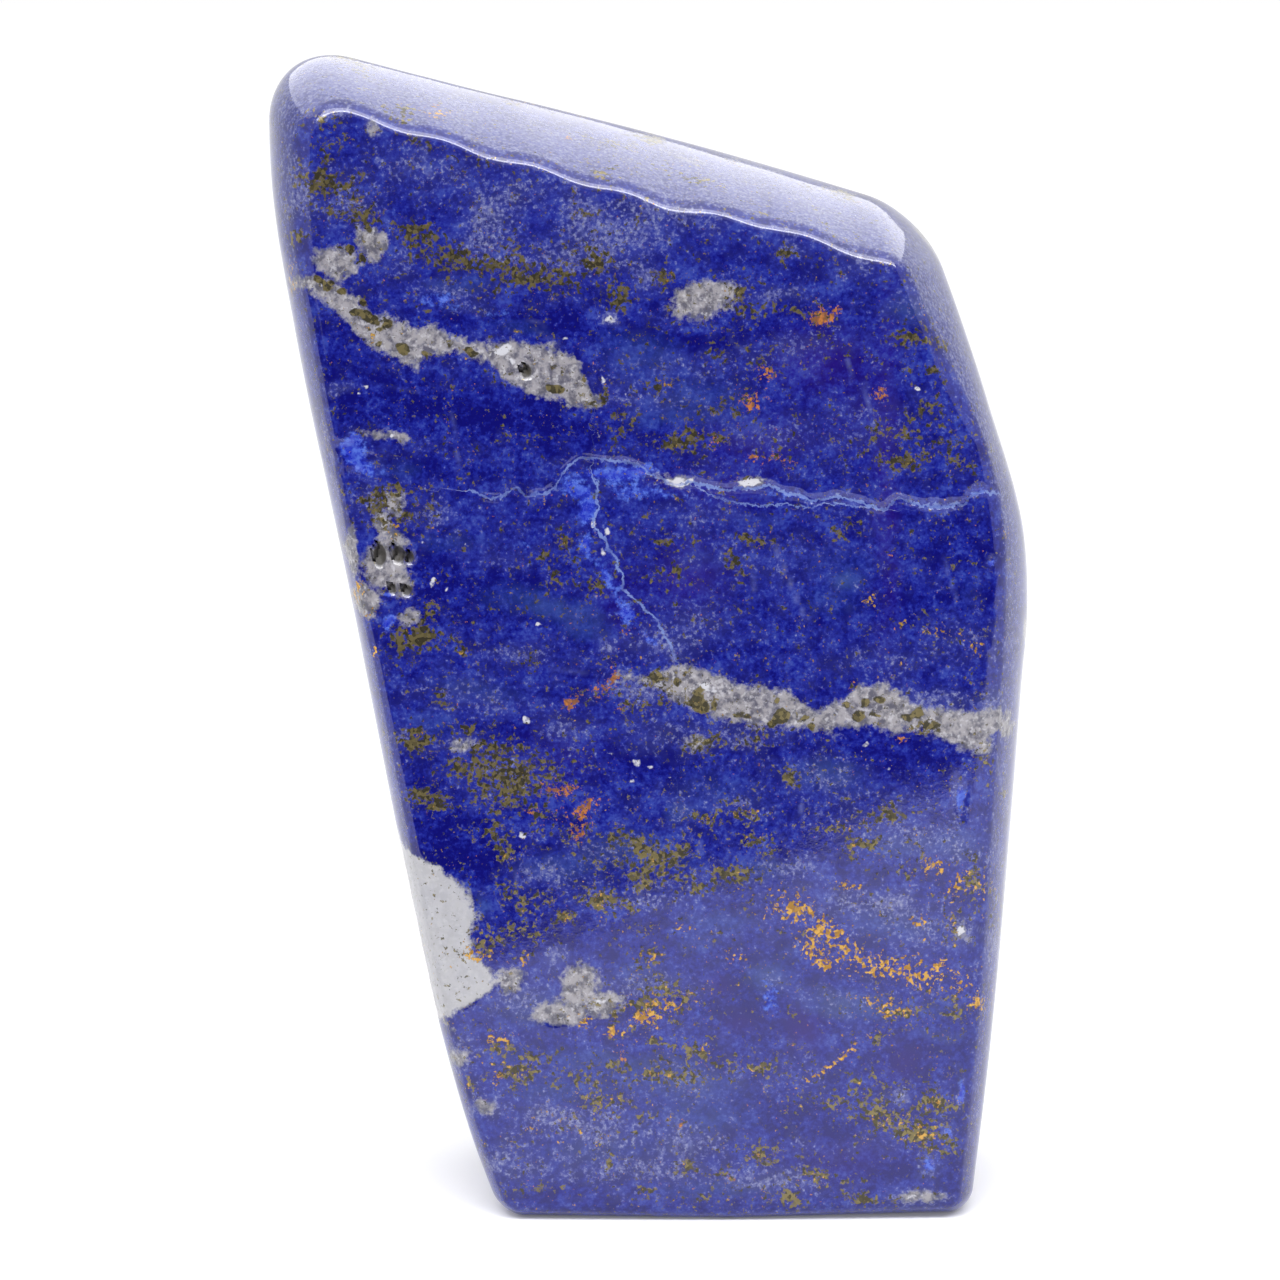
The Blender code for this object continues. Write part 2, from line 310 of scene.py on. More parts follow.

# %% [markdown]
# ## What the polish shows
# The lists below hold each patch and vein of the front as (side, height, half width, half height, tilt, how
# much), in millimetres and degrees, from the top of the stone to its foot. Keeping one list for each mineral
# makes it plain what a number does: pale dust is fine calcite in the blue, haze is a grey film over it, deep
# is the clean lazurite, and so on. The violet list is no mineral: it places a painted reflection.

# %% Clouds and specks
PALE_DUST = (
    (-30.4, 106.6, 3.2, 1.1, -3, 0.45), (-34.3, 101.6, 1.3, 4.2, 0, 0.4),
    (-26.4, 104.8, 0.7, 1.2, 0, 0.75), (-29.0, 97.8, 3.2, 2.5, -10, 0.5), (-33.3, 98.2, 1.3, 2.9, 0, 0.5),
    (-23.8, 101.6, 2.9, 2.1, 0, 0.28), (-19.0, 100.6, 3.8, 2.4, 0, 0.25), (-15.2, 97.1, 2.7, 2.1, 0, 0.6),
    (-16.3, 93.9, 2.5, 1.9, 0, 0.5), (-11.4, 99.2, 3.8, 2.4, 0, 0.35), (-6.3, 96.7, 2.3, 2.5, 0, 0.55),
    (-4.3, 93.9, 2.9, 1.7, 0, 0.45), (-8.5, 92.3, 5.7, 1.9, 0, 0.42), (-0.9, 95.4, 3.3, 2.3, 0, 0.55),
    (0.5, 97.7, 3.2, 1.3, -15, 0.45), (4.8, 96.5, 3.0, 1.3, -12, 0.4), (11.5, 95.8, 3.8, 1.2, -15, 0.35),
    (18.0, 94.4, 3.0, 1.1, -20, 0.55), (13.3, 93.5, 1.2, 0.7, 0, 0.6), (19.4, 92.3, 2.3, 1.5, 0, 0.45),
    (11.5, 89.3, 3.2, 0.8, 0, 0.45), (-0.3, 90.8, 1.3, 1.1, 0, 0.65), (-18.5, 89.5, 2.9, 0.9, -8, 0.35),
    (-23.6, 92.7, 1.9, 2.1, 0, 0.3), (-3.7, 86.8, 1.0, 0.7, 0, 0.95), (4.8, 83.0, 5.7, 1.7, 0, 0.25),
    (14.3, 84.4, 2.9, 1.0, -5, 0.35), (25.3, 88.7, 2.3, 1.7, 0, 0.35), (24.3, 93.0, 1.7, 1.5, 0, 0.35),
    (-0.9, 79.7, 3.8, 1.3, -8, 0.3), (11.5, 76.3, 5.7, 1.3, -5, 0.25), (20.1, 77.3, 3.8, 2.1, 0, 0.2),
    (-17.1, 87.8, 2.5, 0.8, -8, 0.35), (-29.5, 80.6, 1.5, 0.7, 10, 0.55), (-28.5, 75.4, 1.0, 0.6, 0, 0.45),
    (-20.9, 68.2, 2.5, 1.3, 0, 0.4), (-26.6, 69.7, 1.7, 1.5, 0, 0.55), (-14.2, 63.9, 3.8, 1.5, -8, 0.18),
    (4.8, 67.7, 3.8, 1.5, 0, 0.28), (10.5, 63.9, 5.7, 2.3, 0, 0.18), (3.9, 57.7, 3.8, 2.1, 0, 0.35),
    (1.0, 55.8, 3.8, 1.3, -6, 0.5), (-0.9, 51.5, 3.2, 1.1, 0, 0.65), (-12.3, 54.9, 4.2, 0.9, -5, 0.5),
    (-16.2, 50.6, 5.7, 1.5, -8, 0.3), (-8.5, 48.1, 2.1, 1.5, 0, 0.45), (-3.8, 55.8, 1.1, 0.9, 0, 0.6),
    (1.0, 47.2, 3.8, 2.3, -4, 0.4), (8.6, 47.2, 4.8, 1.3, -4, 0.45), (26.7, 50.6, 3.8, 1.1, 0, 0.6),
    (30.1, 47.7, 2.5, 1.3, -14, 0.8), (32.4, 50.0, 1.3, 1.3, 0, 0.6), (32.0, 46.1, 1.3, 1.0, 0, 0.7),
    (22.0, 54.4, 4.8, 1.3, 0, 0.25), (29.6, 56.3, 3.8, 1.7, 0, 0.25), (-23.8, 46.7, 1.5, 1.1, 0, 0.5),
    (-17.9, 46.5, 1.7, 0.9, 0, 0.65), (-14.2, 43.6, 3.4, 1.9, 0, 0.45), (-27.6, 50.6, 1.0, 3.8, -12, 0.45),
    (-25.2, 42.9, 0.8, 3.8, -8, 0.35), (17.2, 42.9, 5.7, 2.1, -8, 0.3), (6.7, 40.9, 4.8, 1.5, -8, 0.22),
    (23.9, 38.0, 5.7, 1.9, -8, 0.32), (29.6, 36.1, 3.8, 1.9, 0, 0.4), (3.1, 39.8, 1.1, 1.0, 0, 0.45),
    (-10.0, 33.8, 3.2, 1.3, 0, 0.5), (-4.7, 36.1, 4.8, 1.7, 0, 0.35), (-1.9, 31.3, 5.7, 1.1, -4, 0.42),
    (4.8, 33.2, 3.8, 1.3, 0, 0.3), (13.4, 34.6, 2.5, 1.1, 0, 0.6), (19.1, 30.8, 4.8, 1.7, -8, 0.45),
    (26.7, 28.4, 3.8, 2.5, 0, 0.4), (30.4, 28.0, 0.9, 1.0, 0, 0.95), (33.0, 26.5, 0.7, 1.9, 0, 0.75),
    (23.5, 31.1, 1.7, 1.0, 0, 0.65), (-9.1, 25.7, 1.3, 1.0, 0, 0.6), (-12.3, 21.7, 3.8, 1.9, 0, 0.4),
    (-0.9, 23.1, 4.2, 1.3, 0, 0.45), (11.8, 23.1, 1.3, 1.1, 0, 0.5), (17.7, 21.7, 3.8, 1.3, 0, 0.3),
    (-18.1, 15.9, 1.3, 2.5, -12, 0.55), (-16.0, 11.4, 1.5, 1.3, 0, 0.75), (-14.5, 6.0, 1.7, 1.3, 0, 0.7),
    (-9.7, 10.3, 3.2, 1.7, 0, 0.5), (-4.2, 9.1, 4.8, 1.9, 0, 0.45), (4.0, 7.7, 3.2, 1.7, 0, 0.5),
    (-8.5, 5.7, 5.7, 1.9, 0, 0.35), (0.0, 5.3, 5.7, 1.7, 0, 0.45), (11.5, 4.1, 4.2, 1.1, -4, 0.65),
    (24.3, 12.6, 1.1, 0.8, -20, 0.7), (24.4, 9.3, 1.1, 0.8, 0, 0.5), (25.8, 2.2, 2.3, 0.7, -5, 0.95),
    (4.8, 13.5, 5.7, 1.7, 0, 0.22), (20.1, 7.2, 5.7, 1.3, 0, 0.15), (30.0, 12.5, 0.5, 1.7, 0, 0.7),
    (28.5, 8.4, 1.0, 1.3, 0, 0.6), (27.1, 5.5, 1.1, 1.3, 0, 0.6), (29.6, 41.2, 0.5, 1.5, 0, 0.75),
    (32.4, 63.7, 0.6, 0.6, 0, 0.6), (33.4, 34.2, 0.9, 3.8, 0, 0.4),
)
DARK_SPECKS = (
    (-30.6, 105.5, 1.2, 0.8, 0, 0.6), (-30.1, 103.0, 1.5, 0.8, 0, 0.3), (-30.4, 99.6, 2.9, 1.2, -8, 0.65),
    (-29.0, 96.8, 2.9, 1.0, -8, 0.45), (-26.4, 96.1, 1.5, 1.0, 0, 0.35), (-33.4, 94.8, 1.1, 0.7, 0, 0.6),
    (-20.7, 103.0, 0.8, 0.6, 0, 0.5), (-23.3, 106.2, 1.3, 0.6, 0, 0.6), (-21.4, 94.6, 1.7, 1.0, 0, 0.6),
    (-19.0, 92.7, 2.5, 1.1, -6, 0.5), (-14.2, 91.6, 3.8, 1.3, -4, 0.48), (-9.3, 90.8, 3.8, 1.3, 0, 0.5),
    (-4.5, 93.5, 1.3, 1.1, 0, 0.45), (-2.8, 89.5, 1.1, 0.7, 0, 0.6), (-5.7, 96.9, 0.8, 0.5, 0, 0.4),
    (-15.8, 102.1, 1.3, 0.9, 0, 0.3), (-12.1, 100.5, 1.0, 0.6, 0, 0.4), (-4.7, 101.1, 1.5, 0.6, -10, 0.35),
    (4.8, 100.3, 3.8, 0.6, -12, 0.45), (-0.9, 96.0, 0.6, 0.5, 0, 0.5), (1.4, 90.9, 0.9, 0.7, 0, 0.75),
    (-5.3, 92.3, 1.0, 1.0, 0, 0.45), (-3.2, 88.5, 0.9, 0.6, 0, 0.7), (8.1, 89.5, 1.1, 0.8, 0, 0.5),
    (9.8, 88.0, 2.5, 0.8, -6, 0.45), (14.3, 87.6, 1.9, 0.7, 0, 0.35), (13.3, 93.2, 1.0, 0.5, 0, 0.6),
    (10.3, 96.9, 1.5, 0.6, 0, 0.3), (3.9, 95.4, 0.8, 0.5, 0, 0.35), (6.3, 83.8, 1.0, 0.8, 0, 0.65),
    (24.3, 85.2, 1.5, 0.9, 0, 0.7), (27.3, 85.1, 1.1, 0.7, 0, 0.6), (26.7, 82.0, 1.9, 0.8, 0, 0.4),
    (1.0, 80.7, 1.7, 0.6, 0, 0.55), (10.5, 81.9, 1.5, 0.8, 0, 0.35), (2.5, 75.0, 1.5, 0.8, 0, 0.7),
    (4.3, 75.3, 1.0, 0.8, 0, 0.65), (-2.5, 76.7, 1.5, 0.9, 0, 0.55), (-4.7, 79.2, 1.3, 0.8, 0, 0.4),
    (8.6, 78.2, 2.9, 1.3, 0, 0.3), (6.3, 75.4, 1.0, 0.7, 0, 0.45), (12.6, 73.9, 2.1, 0.8, 0, 0.35),
    (20.3, 74.4, 1.5, 0.7, 0, 0.4), (24.3, 73.3, 1.5, 0.8, 0, 0.55), (27.7, 75.4, 2.9, 1.7, 0, 0.25),
    (25.8, 78.0, 2.3, 0.8, 0, 0.35), (22.0, 76.3, 1.9, 1.0, 0, 0.25), (-25.7, 69.7, 2.5, 1.3, 0, 0.6),
    (-23.3, 67.7, 1.9, 0.8, 0, 0.55), (-21.1, 69.1, 0.8, 0.6, 0, 0.5), (-10.4, 63.7, 1.2, 0.7, 0, 0.6),
    (-7.9, 65.7, 0.8, 0.9, 0, 0.6), (-8.8, 62.0, 1.1, 0.6, 0, 0.45), (-7.1, 63.7, 0.9, 0.9, 0, 0.4),
    (-5.3, 61.3, 0.9, 0.8, 0, 0.55), (1.2, 65.6, 1.5, 0.8, 0, 0.55), (9.4, 65.8, 1.3, 0.6, 0, 0.55),
    (11.2, 65.7, 1.5, 0.6, 0, 0.45), (8.1, 63.7, 0.9, 0.8, 0, 0.65), (18.8, 67.0, 1.4, 0.8, 0, 0.65),
    (0.2, 62.8, 1.3, 0.6, 0, 0.35), (-2.6, 63.0, 0.9, 0.7, 0, 0.35), (2.7, 62.9, 0.8, 0.7, 0, 0.4),
    (-21.9, 56.6, 1.7, 1.2, 0, 0.75), (-23.8, 56.3, 1.1, 0.9, 0, 0.6), (-17.6, 55.5, 1.1, 0.6, 0, 0.55),
    (-11.7, 54.1, 1.3, 0.6, 0, 0.55), (-20.7, 59.2, 1.0, 1.0, 0, 0.5), (-20.0, 51.0, 0.9, 0.7, 0, 0.55),
    (-17.5, 47.8, 1.3, 0.6, 0, 0.6), (-22.1, 46.9, 1.6, 0.8, 0, 0.7), (-23.1, 46.1, 1.3, 0.8, 0, 0.5),
    (-13.5, 46.3, 2.1, 0.8, 0, 0.5), (-13.8, 42.9, 3.4, 2.1, -14, 0.75), (-17.1, 44.3, 1.9, 1.0, 0, 0.5),
    (-21.9, 41.4, 1.3, 0.8, 0, 0.75), (-20.3, 40.4, 1.2, 0.7, 0, 0.75), (-15.1, 37.9, 0.9, 1.1, 0, 0.75),
    (-13.6, 35.6, 1.1, 1.1, 0, 0.6), (-11.2, 39.7, 1.1, 0.8, 0, 0.4), (-9.7, 43.8, 1.9, 1.0, 0, 0.4),
    (0.4, 52.5, 1.1, 0.8, 0, 0.7), (2.1, 50.6, 1.5, 1.0, 0, 0.4), (4.4, 46.3, 1.2, 0.7, 0, 0.6),
    (6.0, 47.0, 0.8, 0.6, 0, 0.5), (10.1, 47.4, 2.1, 0.8, 0, 0.45), (-2.0, 49.8, 1.3, 0.6, 0, 0.45),
    (-4.7, 51.2, 1.3, 0.7, 0, 0.35), (13.8, 43.1, 1.0, 0.8, 0, 0.7), (7.6, 41.0, 0.7, 0.5, 0, 0.7),
    (5.5, 39.1, 1.1, 0.5, 0, 0.65), (8.7, 39.6, 1.5, 0.7, 0, 0.6), (9.8, 37.2, 1.2, 0.7, 0, 0.6),
    (11.5, 35.8, 0.9, 0.6, 0, 0.45), (3.9, 39.8, 1.1, 0.5, 0, 0.3), (22.3, 39.4, 1.7, 0.7, 0, 0.55),
    (20.2, 36.9, 2.1, 0.8, -4, 0.65), (17.2, 38.5, 2.1, 0.4, 0, 0.5), (23.4, 39.8, 0.8, 0.6, 0, 0.5),
    (24.8, 34.2, 1.9, 1.0, 0, 0.3), (-3.5, 37.3, 1.9, 0.7, 0, 0.6), (-0.9, 36.5, 1.5, 0.8, 0, 0.6),
    (0.7, 35.0, 1.9, 1.0, 0, 0.85), (3.3, 36.6, 1.3, 0.9, 0, 0.7), (7.6, 33.9, 2.1, 0.9, -8, 0.75),
    (4.8, 32.7, 2.9, 0.8, -6, 0.45), (-0.9, 33.2, 2.3, 1.0, 0, 0.5), (-4.7, 34.6, 1.9, 0.6, 0, 0.35),
    (-9.3, 37.3, 1.0, 0.5, 0, 0.4), (-13.8, 32.1, 1.2, 0.7, 0, 0.6), (-12.0, 30.8, 0.9, 0.7, 0, 0.7),
    (-7.9, 29.8, 1.0, 0.6, 0, 0.75), (-9.2, 31.4, 1.0, 0.6, 0, 0.5), (-4.5, 31.4, 1.3, 0.9, 0, 0.75),
    (-2.3, 30.8, 1.5, 0.6, 0, 0.45), (-6.9, 37.8, 0.9, 0.7, 0, 0.3), (-10.4, 28.5, 1.9, 0.6, 0, 0.3),
    (-13.1, 28.3, 1.9, 0.8, 0, 0.3), (-15.2, 27.2, 1.9, 1.1, 0, 0.35), (0.0, 25.7, 1.3, 1.0, 0, 0.55),
    (-0.9, 28.4, 2.9, 0.5, 0, 0.25), (2.0, 22.6, 2.9, 1.1, -20, 0.45), (-0.9, 21.1, 2.9, 0.8, 0, 0.5),
    (1.0, 17.8, 2.9, 1.0, -10, 0.45), (4.8, 16.6, 1.9, 0.7, -12, 0.6), (9.8, 15.3, 2.1, 0.7, -10, 0.6),
    (0.4, 14.5, 2.3, 0.9, -8, 0.7), (-3.1, 15.5, 1.0, 0.6, 0, 0.6), (-10.4, 15.9, 2.1, 1.0, 0, 0.55),
    (-13.0, 14.6, 1.6, 1.0, 0, 0.55), (-17.3, 13.2, 0.9, 0.7, 0, 0.75), (-6.6, 13.9, 2.5, 1.0, 0, 0.45),
    (-5.3, 11.9, 2.5, 0.8, 0, 0.45), (-14.7, 16.6, 1.5, 0.8, 0, 0.45), (3.9, 14.1, 1.0, 0.5, 0, 0.5),
    (7.2, 13.9, 1.3, 0.5, 0, 0.3), (20.3, 13.8, 1.7, 0.8, -10, 0.6), (18.2, 12.0, 2.9, 0.8, 0, 0.4),
    (27.7, 11.6, 2.1, 1.1, -10, 0.75), (25.8, 8.8, 2.5, 1.1, -10, 0.75), (22.0, 10.6, 2.3, 1.3, 0, 0.45),
    (28.6, 7.2, 1.3, 1.0, 0, 0.5), (24.0, 20.5, 2.1, 0.8, -8, 0.6), (22.0, 18.3, 1.3, 0.5, 30, 0.45),
    (29.6, 20.7, 2.5, 1.3, 0, 0.4), (31.0, 33.2, 1.1, 2.5, 0, 0.45), (29.1, 27.9, 1.1, 1.9, 0, 0.4),
    (33.4, 29.4, 0.5, 2.9, 0, 0.4), (10.4, 6.6, 1.5, 0.9, 0, 0.65), (16.3, 4.6, 1.9, 0.7, -6, 0.6),
    (13.3, 2.1, 1.3, 0.6, 0, 0.8), (20.6, 2.5, 1.9, 0.6, -4, 0.7), (-0.4, 3.1, 0.9, 0.5, 0, 0.55),
    (4.8, 2.4, 2.9, 0.5, 0, 0.3), (-3.1, 6.5, 1.7, 0.9, 0, 0.45), (-8.5, 9.1, 1.3, 0.6, 0, 0.3),
    (-0.9, 10.1, 1.3, 0.6, 0, 0.35), (3.9, 5.3, 1.5, 0.6, 0, 0.5), (-11.4, 3.3, 2.9, 0.5, 0, 0.3),
    (33.7, 41.9, 0.7, 0.6, 0, 0.55), (26.7, 48.2, 0.9, 0.7, 0, 0.8), (32.0, 44.8, 1.0, 1.1, 0, 0.4),
    (33.4, 74.4, 1.0, 1.3, 0, 0.25), (30.7, 72.5, 1.3, 1.0, 0, 0.3), (23.9, 75.4, 1.1, 0.8, 0, 0.3),
)
GOLD_SPECKS = (
    (12.2, 31.0, 1.5, 0.8, 0, 0.7), (14.0, 30.8, 1.5, 1.2, -10, 0.95), (16.4, 28.4, 2.1, 1.1, -12, 0.8),
    (17.1, 25.2, 1.2, 0.6, -12, 1), (15.5, 26.7, 1.1, 0.8, -20, 0.75), (18.9, 26.5, 2.5, 1.2, -14, 0.6),
    (19.7, 32.3, 1.2, 0.6, -20, 0.65), (18.2, 32.8, 1.0, 0.5, 0, 0.5), (22.0, 25.0, 2.5, 1.1, -14, 0.65),
    (25.3, 24.1, 2.5, 1.2, -10, 0.65), (27.9, 24.7, 0.8, 0.5, 25, 0.8), (27.4, 34.2, 1.3, 0.8, -8, 0.7),
    (28.9, 32.3, 1.2, 0.9, -14, 0.65), (31.8, 32.7, 1.1, 1.7, 0, 0.45), (26.2, 29.5, 0.9, 0.7, 0, 0.65),
    (26.1, 27.4, 0.5, 0.2, 0, 0.9), (31.7, 21.3, 1.0, 0.9, 0, 0.9), (29.6, 23.1, 2.1, 1.3, 0, 0.55),
    (29.1, 28.4, 1.3, 1.9, 0, 0.35), (22.0, 21.7, 2.3, 1.0, -8, 0.4), (23.9, 20.5, 1.9, 0.8, -8, 0.5),
    (3.3, 28.5, 1.1, 0.4, -4, 0.65), (8.1, 25.8, 1.3, 0.6, -20, 0.65), (5.3, 27.0, 1.3, 0.5, -20, 0.35),
    (0.2, 25.8, 1.5, 0.9, 0, 0.55), (-17.1, 26.9, 0.4, 0.8, 0, 0.9), (-16.7, 25.9, 0.9, 0.4, 0, 0.85),
    (-12.4, 25.4, 0.4, 0.9, 0, 0.8), (-15.3, 26.3, 1.3, 1.3, 0, 0.4), (-6.3, 19.9, 0.8, 0.7, 0, 0.9),
    (-3.4, 18.7, 0.9, 0.4, 0, 0.85), (-0.3, 19.9, 1.2, 0.8, 0, 0.9), (1.2, 20.9, 1.1, 0.6, 10, 0.8),
    (-14.9, 17.7, 1.2, 0.9, 0, 0.8), (-2.3, 19.0, 2.9, 1.1, 0, 0.35), (2.0, 21.8, 2.5, 1.1, -20, 0.35),
    (5.6, 16.8, 1.1, 0.6, -20, 0.5), (9.8, 15.2, 1.5, 0.6, -10, 0.35), (0.5, 14.5, 2.1, 0.8, -8, 0.35),
    (-10.0, 9.6, 3.8, 1.5, -6, 0.22), (-5.7, 12.0, 3.2, 1.1, -8, 0.35), (-13.8, 14.9, 1.5, 1.0, 0, 0.4),
    (-17.4, 13.2, 0.8, 0.6, 0, 0.6), (-14.6, 14.1, 0.4, 0.3, 0, 0.7), (-6.6, 7.7, 2.9, 1.1, 0, 0.22),
    (27.5, 11.5, 1.7, 1.1, -14, 0.45), (26.2, 8.8, 1.9, 1.0, -14, 0.5), (22.9, 10.1, 1.9, 1.1, 0, 0.2),
    (20.3, 13.7, 1.3, 0.6, -10, 0.35), (18.5, 16.6, 2.1, 0.3, 30, 0.3), (10.5, 6.6, 1.1, 0.7, 0, 0.45),
    (16.3, 4.5, 1.5, 0.6, -8, 0.4), (13.3, 2.1, 0.9, 0.4, 0, 0.35), (-0.4, 3.3, 0.6, 0.4, 0, 0.5),
    (3.4, 5.5, 0.8, 0.4, 0, 0.45), (-9.3, 31.1, 0.8, 0.5, 0, 0.45), (-8.0, 29.8, 0.8, 0.4, 0, 0.5),
    (-4.5, 31.5, 0.9, 0.7, 0, 0.4), (0.7, 35.0, 1.1, 0.7, 0, 0.4), (3.3, 36.7, 1.0, 0.6, 0, 0.35),
    (-13.4, 35.0, 0.8, 0.7, 0, 0.4), (7.6, 34.0, 1.1, 0.6, 0, 0.25), (18.5, 38.8, 2.1, 0.5, 0, 0.3),
    (20.2, 36.9, 1.3, 0.6, 0, 0.35), (5.5, 39.2, 0.9, 0.4, 0, 0.4), (8.7, 39.8, 1.0, 0.5, 0, 0.4),
    (9.8, 37.3, 0.9, 0.5, 0, 0.35), (20.6, 60.4, 0.9, 0.8, 0, 0.55), (24.3, 57.7, 0.6, 0.6, 0, 0.6),
    (27.7, 57.1, 1.7, 0.7, -8, 0.5), (31.3, 55.5, 0.9, 0.7, 0, 0.65), (29.5, 56.7, 0.8, 0.5, 0, 0.4),
    (2.0, 80.9, 0.9, 0.3, 0, 0.6), (2.2, 75.2, 0.5, 0.5, 0, 0.45), (4.5, 75.3, 0.5, 0.5, 0, 0.4),
    (20.3, 74.4, 0.5, 0.4, 0, 0.5), (-19.6, 106.8, 1.9, 0.5, -10, 0.75), (-29.1, 95.6, 0.5, 0.4, 0, 0.3),
    (-30.6, 105.5, 0.6, 0.4, 0, 0.25), (-27.9, 93.8, 0.4, 0.4, 0, 0.5), (-29.0, 86.3, 1.3, 0.6, -25, 0.45),
    (-26.4, 85.1, 1.0, 0.6, 0, 0.35), (-21.7, 47.2, 0.5, 0.4, 0, 0.5), (-17.6, 55.4, 0.9, 0.4, 0, 0.35),
    (-10.4, 63.7, 0.7, 0.5, 0, 0.2), (-7.9, 65.8, 0.5, 0.6, 0, 0.25), (27.7, 75.3, 0.5, 0.4, 0, 0.3),
    (24.3, 73.3, 0.8, 0.4, 0, 0.3), (18.8, 67.0, 0.7, 0.4, 0, 0.25), (-24.3, 67.1, 0.6, 0.8, 0, 0.6),
    (34.2, 66.5, 0.5, 1.0, 0, 0.6), (30.9, 69.7, 0.5, 0.5, 0, 0.3), (-34.0, 91.8, 0.3, 0.7, 0, 0.85),
    (-33.9, 90.4, 0.3, 0.5, 0, 0.85), (-30.4, 66.2, 0.5, 1.1, 20, 0.6), (-27.6, 61.5, 0.6, 0.7, 0, 0.9),
    (-27.8, 60.1, 0.4, 0.6, 0, 0.85), (-26.7, 58.6, 0.8, 0.4, 0, 0.7), (-26.2, 54.9, 0.4, 0.8, 0, 0.8),
    (-25.7, 72.5, 1.3, 0.4, -12, 0.35), (17.2, 15.4, 7.5, 0.35, 35, 0.6),
)
RUST = (
    (16.3, 87.0, 1.0, 0.7, 0, 0.85), (17.5, 87.6, 0.7, 0.4, 0, 0.55), (15.5, 86.6, 1.0, 0.5, 0, 0.35),
    (9.7, 79.2, 1.3, 1.0, 0, 0.62), (10.9, 81.5, 0.9, 0.6, 0, 0.6), (21.9, 79.9, 0.7, 0.6, 0, 0.65),
    (6.1, 75.3, 0.7, 0.6, 0, 0.45), (12.0, 73.8, 1.0, 0.6, 0, 0.45), (9.8, 73.7, 0.8, 0.6, 0, 0.45),
    (13.4, 73.3, 1.9, 0.5, 0, 0.25), (-7.2, 50.5, 0.9, 0.5, 20, 0.8), (-3.4, 52.6, 0.9, 0.7, 40, 0.7),
    (-4.6, 51.3, 1.3, 0.7, 0, 0.5), (-2.7, 49.7, 1.1, 0.6, 0, 0.4), (-2.0, 57.6, 0.6, 0.4, 0, 0.55),
    (-9.5, 41.9, 1.3, 0.8, -20, 0.6), (-7.6, 42.1, 1.0, 0.6, 0, 0.55), (-6.3, 40.2, 1.1, 0.7, 30, 0.8),
    (-6.8, 38.1, 0.7, 1.0, 0, 0.6), (-11.2, 39.7, 0.9, 0.6, 0, 0.5), (-4.7, 40.9, 0.8, 0.4, 20, 0.3),
    (-8.5, 39.8, 1.3, 0.8, 0, 0.25), (2.7, 62.9, 0.7, 0.6, 0, 0.3), (23.1, 64.7, 0.6, 0.5, 0, 0.4),
    (-0.4, 19.8, 1.1, 0.7, 0, 0.55), (-3.4, 18.7, 0.7, 0.3, 0, 0.55), (-6.3, 19.9, 0.6, 0.5, 0, 0.45),
    (-16.7, 25.8, 0.7, 0.3, 0, 0.45), (-2.6, 16.6, 0.5, 0.8, 0, 0.5), (-14.5, 14.1, 0.3, 0.3, 0, 0.65),
    (2.8, 9.5, 0.3, 0.3, 0, 0.9), (1.3, 9.5, 0.4, 0.3, 0, 0.5), (7.9, 4.4, 0.3, 0.3, 0, 0.8),
    (15.5, 26.8, 0.6, 0.5, 0, 0.5), (27.9, 24.7, 0.6, 0.4, 0, 0.5), (24.3, 24.4, 0.4, 0.3, 0, 0.5),
    (31.7, 21.3, 0.9, 0.7, 0, 0.35), (24.1, 47.2, 0.4, 0.3, 0, 0.8), (-3.8, 18.3, 0.3, 0.3, 0, 0.6),
    (19.1, 51.7, 0.6, 0.4, -30, 0.6), (-12.4, 25.0, 0.4, 0.6, 0, 0.4), (6.0, 26.0, 0.5, 0.4, 0, 0.35),
    (8.1, 25.2, 0.6, 0.4, 0, 0.45), (-8.1, 105.3, 0.3, 0.3, 0, 0.8), (-7.2, 104.0, 0.4, 0.3, 0, 0.95),
    (-20.1, 107.8, 0.4, 0.3, 0, 0.7), (10.2, 99.9, 0.5, 0.3, 0, 0.65), (13.9, 99.5, 0.3, 0.2, 0, 0.65),
    (20.2, 97.6, 0.5, 0.3, 0, 0.75), (-3.8, 53.9, 0.6, 0.3, 0, 0.25),
)
